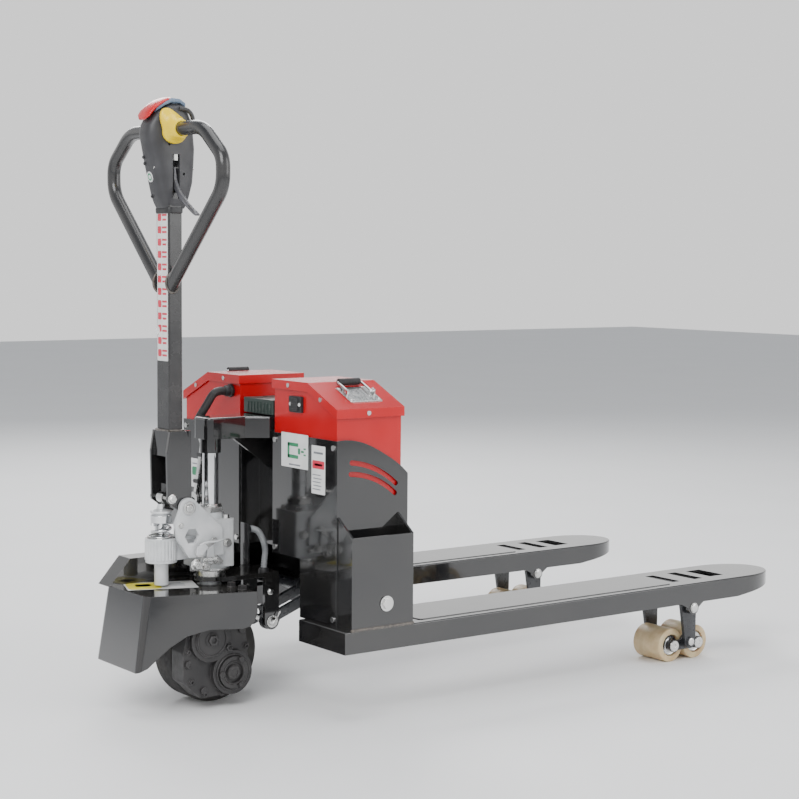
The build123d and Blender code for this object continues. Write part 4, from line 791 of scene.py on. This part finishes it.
def front_labels():
    """Printed plates on the front panels, all with generic marks."""
    plug = [(1, -6, 12, 38, 7), (1, -22, 0, 7, 30), (1, -6, -12, 38, 7), (1, 16, 0, 8, 12), (1, 28, 0, 10, 4),
            (1, 36, 6, 8, 3), (1, 36, -6, 8, 3), (2, 0, -28, 40, 3)]
    label("green_label", "chassis", at(PANEL, -146, 507), (0, -1, 0), (0, 0, 1), (96, 68), plug,
          "label_white", "label_green", "label_grey")
    lines = [(1, 0, 10, 42, 16), (2, 0, 33, 32, 4)] + [(2, -6 + 3 * (i % 2), -10 - 7 * i, 28, 2)
                                                       for i in range(5)]
    lines += [(0, 0, 10, 26, 4)]
    label("red_label", "chassis", at(PANEL, -230, 477), (0, -1, 0), (0, 0, 1), (47, 94), lines, "label_white",
          "label_red", "label_grey")
    label("far_label", "chassis", at(PANEL, 246, 424), (0, -1, 0), (0, 0, 1), (34, 62),
          [(1, 0, 4, 22, 18), (2, 0, -18, 20, 3), (2, 0, 20, 20, 3)], "label_white", "label_green",
          "label_grey")
    cover_marks = [(1, -34, 0, 66, 70), (2, 26, 20, 34, 4), (2, 26, 8, 44, 3), (2, 26, -2, 44, 3),
                   (2, 26, -12, 44, 3), (0, -34, 6, 30, 26), (2, -34, 6, 22, 18)]
    label("cover_label", "steer", at(-199, 14, 236.1), (0.94, -0.34, 0), (0.34, 0.94, 0), (140, 76),
          cover_marks, "label_white", "label_yellow", "label_grey")


def spanner():
    """The open-ended spanner clipped to the front panel beside the ram."""
    mesh = bmesh.new()
    centre, half = (222, 437), 62
    lean = 0.26

    def flat(a, b):
        return at(PANEL - 1.5, centre[0] - a * cos(lean) - b * sin(lean),
                  centre[1] - a * sin(lean) + b * cos(lean))

    shank = [(-4.5, -half), (4.5, -half), (5.5, 0), (4.5, half), (-4.5, half), (-5.5, 0)]
    prism(mesh, [flat(a, b) for a, b in shank], Vector(), Vector((-0.005, 0, 0)), chamfer=0.8 * MM)
    for end in (-1, 1):
        jaw = []
        for i in range(15):
            angle = radians(-142 + 284 * i / 14)
            jaw.append((15 * sin(angle), end * (half + 8) - end * 15 * cos(angle)))
        jaw += [(-6.2, end * (half + 20)), (-6.2, end * (half + 6)), (6.2, end * (half + 6)),
                (6.2, end * (half + 20))]
        prism(mesh, [flat(a, b) for a, b in jaw], Vector(), Vector((-0.006, 0, 0)), chamfer=0.0)
    piece("spanner", mesh, "chassis", "zinc_steel", sharp=30)
    clip = bmesh.new()
    for b in (-30, 30):
        brick(clip, flat(0, b) + Vector((-0.007, -0.009, -0.004)),
              flat(0, b) + Vector((0.0016, 0.009, 0.004)))
    piece("spanner_clips", clip, "chassis", "black_plastic")


def chassis_details():
    """Weld beads, charging socket screws and flap, and ribs on the controller."""
    beads = bmesh.new()
    for sign in (-1, 1):
        line = [at(x, sign * 342.5, 180.0) for x in (14, 60, 110, 161)]
        sweep(beads, smooth_path(line, 2), lambda s: 2.6 + 0.7 * abs(sin(s * 0.5)), 8)
        line = [at(162, sign * y, 180.0) for y in (341, 320, 297)]
        sweep(beads, smooth_path(line, 2), lambda s: 2.4 + 0.6 * abs(sin(s * 0.5)), 8)
        line = [at(182, sign * y, 180.0) for y in (288, 230, 190)]
        sweep(beads, smooth_path(line, 2), lambda s: 2.4 + 0.6 * abs(sin(s * 0.5)), 8)
    piece("frame_welds", beads, "chassis", "weld", sharp=70)
    screws = bmesh.new()
    for y in (-165, -133):
        lathe(screws, at(10.8, y, 599), (-1, 0, 0), ((3.6, -1), (3.6, 0.6), (2.6, 1.6), (1.0, 1.6),
                                                     (1.0, 0.6)), 20)
    piece("socket_screws", screws, "chassis", "label_white")
    flap = bmesh.new()
    prism(flap, [at(11, -149 + a, 599 + b) for a, b in rounded_rectangle(24, 27, 5)], Vector(),
          Vector((-0.003, 0, 0)), chamfer=0.8 * MM)
    for z in (589, 599, 609):
        brick(flap, at(7.2, -157, z - 1.4), at(8.6, -141, z + 1.4))
    piece("socket_flap", flap, "chassis", "black_plastic")
    ribs = bmesh.new()
    for i in range(8):
        y = -48 + 12 * i
        prism(ribs, [at(18 + a, y, 582 + b) for a, b in rounded_rectangle(2.4, 22, 0.5)], Vector(),
              Vector((0, 0.003, 0)))
    piece("controller_ribs", ribs, "chassis", "controller_green")


# ==== drive ======================================================================================
def drive_details():
    """Bolts, covers and seams of the gear casing, and the drive wheel's nuts."""
    dark = bmesh.new()
    rim = [(-196, 92), (-197, 120), (-182, 160), (-120, 162), (-76, 160), (-66, 118), (-64, 74), (-80, 36),
           (-120, 31), (-160, 32), (-190, 60)]
    for x, z in rim:
        hexagon(dark, at(x, -89.6, z), (0, -1, 0), 9, 5, 7.5, socket=2.4)
    hexagon(dark, at(UPPER_X, -104, UPPER_Z), (0, -1, 0), 20, 7, 15, socket=6)
    hexagon(dark, at(-112, -101, 122), (0, -1, 0), 13, 6, 10, socket=4)
    piece("casing_screws", dark, "steer", "cast_dark")
    rings = bmesh.new()
    lathe(rings, at(UPPER_X, 0, UPPER_Z), (0, -1, 0), ((30, 103.5), (33.5, 103.5), (33.5, 105.4), (32, 106.4),
                                               (30, 105.4)), 60, loop=True)
    lathe(rings, at(RING_X, 0, RING_Z), (0, -1, 0), ((33.0, 101), (37.5, 101), (37.5, 103.4), (36, 104.6),
                                                     (33, 103.4)), 60, loop=True)
    lathe(rings, at(RING_X, 0, RING_Z), (0, -1, 0), ((8, 105.6), (12.5, 105.6), (12.5, 107.2), (8, 107.6)),
          40, loop=True)
    lathe(rings, at(RING_X, 0, RING_Z), (0, -1, 0), ((21, 102.5), (23.6, 102.5), (23.6, 108), (22.6, 108.8),
                                              (21, 108)), 60, loop=True)
    piece("casing_rings", rings, "steer", "cast_dark", sharp=40)
    seam = bmesh.new()
    outline = [at(x, -76, z) for x, z in ((-205.5, 64), (-205.5, 118), (-195, 166.5), (-71, 166.5),
                                          (-63.5, 122), (-59.5, 63), (-85, 29.8), (-168, 25.8),
                                          (-205.5, 64))]
    sweep(seam, outline, 1.4, 8)
    piece("casing_seam", seam, "steer", "cast_dark", sharp=70)
    nuts = bmesh.new()
    for i in range(5):
        angle = 2 * pi * i / 5
        hexagon(nuts, at(AXLE_X + 30 * cos(angle), 36.6, AXLE_Z + 30 * sin(angle)), (0, 1, 0), 14, 8, 10)
    piece("hub_nuts", nuts, "drive_wheel", "zinc_steel")
    tread = bmesh.new()
    for y in (-22, 0, 22):
        lathe(tread, at(AXLE_X, y, AXLE_Z), (0, 1, 0), ((96.0, -1.8), (97.9, -1.2), (97.9, 1.2),
                                                        (96.0, 1.8)), 96, loop=True)
    piece("tyre_ribs", tread, "drive_wheel", "drive_tyre", sharp=60)


# ==== load wheels ================================================================================
def load_wheels():
    """Bearings in each load roller, and bright pin ends on the arms and the bogies."""
    pitch, roller = 75.0, 37.0
    for side, sign in (("right", -1), ("left", 1)):
        middle = sign * LOAD_Y
        for place, end in (("rear", -1), ("front", 1)):
            x = BOGIE_X + end * pitch / 2
            mesh = bmesh.new()
            for face in (-1, 1):
                base = middle + face * 29.2
                lathe(mesh, at(x, base, roller), (0, face, 0),
                      ((10.4, 0), (23.7, 0), (23.7, 6.5), (21.5, 7.6), (19.8, 6.6), (14.2, 6.4),
                       (12.6, 7.4), (10.4, 7)), 48, loop=True)
            piece("roller_bearing_%s_%s" % (place, side), mesh, "roller_%s_%s" % (place, side), "zinc_steel",
                  sharp=40)
        caps = bmesh.new()
        for end in (-1, 1):
            x = BOGIE_X + end * pitch / 2
            for face in (-1, 1):
                lathe(caps, at(x, middle + face * 49, roller), (0, face, 0),
                      ((12.6, 0), (12.6, 3.8), (11.6, 4.9), (5.0, 5.0), (4.2, 3.6)), 36)
        piece("axle_caps_" + side, caps, "bogie_" + side, "zinc_steel", sharp=40)
        pins = bmesh.new()
        for face in (-1, 1):
            lathe(pins, at(BOGIE_X, middle + face * 64, 45), (0, face, 0), ((8.4, 0), (8.4, 3.6), (7.4, 4.4),
                                                                      (2.0, 4.4)), 32)
        piece("bogie_pin_ends_" + side, pins, "wheel_frame_" + side, "zinc_steel", sharp=40)
        split = bmesh.new()
        for face in (-1, 1):
            lathe(split, at(932, middle + face * 82, 124), (0, face, 0), ((9.5, 0), (9.5, 2.0), (8.0, 3.0),
                                                                        (2.0, 3.0)), 32)
        piece("swing_pin_ends_" + side, split, "chassis", "zinc_steel", sharp=40)


def link_details():
    """Split pin, washer and grease nipple at the carrier's link pin."""
    mesh = bmesh.new()
    for sign in (-1, 1):
        lathe(mesh, at(LINK_X, sign * 49, LINK_Z), (0, sign, 0),
              ((8.5, -2.8), (12.4, -2.8), (12.4, -1.0), (8.5, -1.0)), 36, loop=True)
        lathe(mesh, at(LINK_X, sign * 49, LINK_Z), (0, sign, 0),
              ((9.0, 0), (9.0, 2.4), (7.6, 3.4), (2.0, 3.4)), 32)
        sweep(mesh, smooth_path([at(20, sign * 52, 141.5), at(27, sign * 52.5, 149.5),
                                 at(35, sign * 53, 161.5), at(40, sign * 53, 168.5)], 1.5), 1.4, 8)
        hexagon(mesh, at(20, sign * 46, 210.5), (0, sign, 0), 9, 4, 7)
    piece("link_pin_ends", mesh, "carrier", "zinc_steel", sharp=40)


# ==== floor and light ============================================================================
def floor_and_lights():
    """A plain pale floor, large soft lights, and a pale surround for the gloss to reflect."""
    mesh = bmesh.new()
    reach = 14.0
    mesh.faces.new([mesh.verts.new(p) for p in ((-reach, -reach, 0), (reach, -reach, 0), (reach, reach, 0),
                                                (-reach, reach, 0))])
    data = bpy.data.meshes.new("floor")
    mesh.to_mesh(data)
    mesh.free()
    floor = bpy.data.objects.new("floor", data)
    scene.collection.objects.link(floor)
    data.materials.append(finish_material("floor", (0.93, 0.93, 0.93), (0.95, 0.95, 0.95), (0.6, 0.7),
                                          patch=2.0, grain=(200.0, 0.02, 0.0002)))
    for name, place, size, power in (("key", (-3.4, -2.6, 3.6), 2.6, 170),
                                     ("fill", (2.4, -3.8, 2.2), 3.0, 80),
                                     ("rim", (1.5, 3.6, 3.2), 2.4, 120), ("top", (0.0, 0.0, 4.2), 3.2, 90)):
        lamp = bpy.data.lights.new(name, "AREA")
        lamp.shape, lamp.size, lamp.energy = "SQUARE", size, power
        obj = bpy.data.objects.new(name, lamp)
        scene.collection.objects.link(obj)
        obj.location = place
        obj.rotation_euler = (Vector((0, 0, 0.45)) - Vector(place)).to_track_quat("-Z", "Y").to_euler()
    world = bpy.data.worlds.new("surround")
    scene.world = world
    world.use_nodes = True
    nodes, links = world.node_tree.nodes, world.node_tree.links
    split = nodes.new("ShaderNodeSeparateXYZ")
    links.new(nodes.new("ShaderNodeTexCoord").outputs["Generated"], split.inputs[0])
    ramp = nodes.new("ShaderNodeValToRGB")
    ramp.color_ramp.elements[0].position, ramp.color_ramp.elements[1].position = 0.22, 0.75
    ramp.color_ramp.elements[0].color = (1.0, 1.0, 1.0, 1)
    ramp.color_ramp.elements[1].color = (0.24, 0.26, 0.29, 1)
    links.new(split.outputs["Z"], ramp.inputs["Fac"])
    links.new(ramp.outputs["Color"], nodes["Background"].inputs["Color"])
    nodes["Background"].inputs["Strength"].default_value = 1.15


for build in (head_shells, throttle_wings, belly_cap, head_trim, lever_blade, tiller_details, pump_details,
              cable_and_conduit, bails, front_labels, spanner, chassis_details, drive_details, load_wheels,
              link_details, floor_and_lights):
    build()
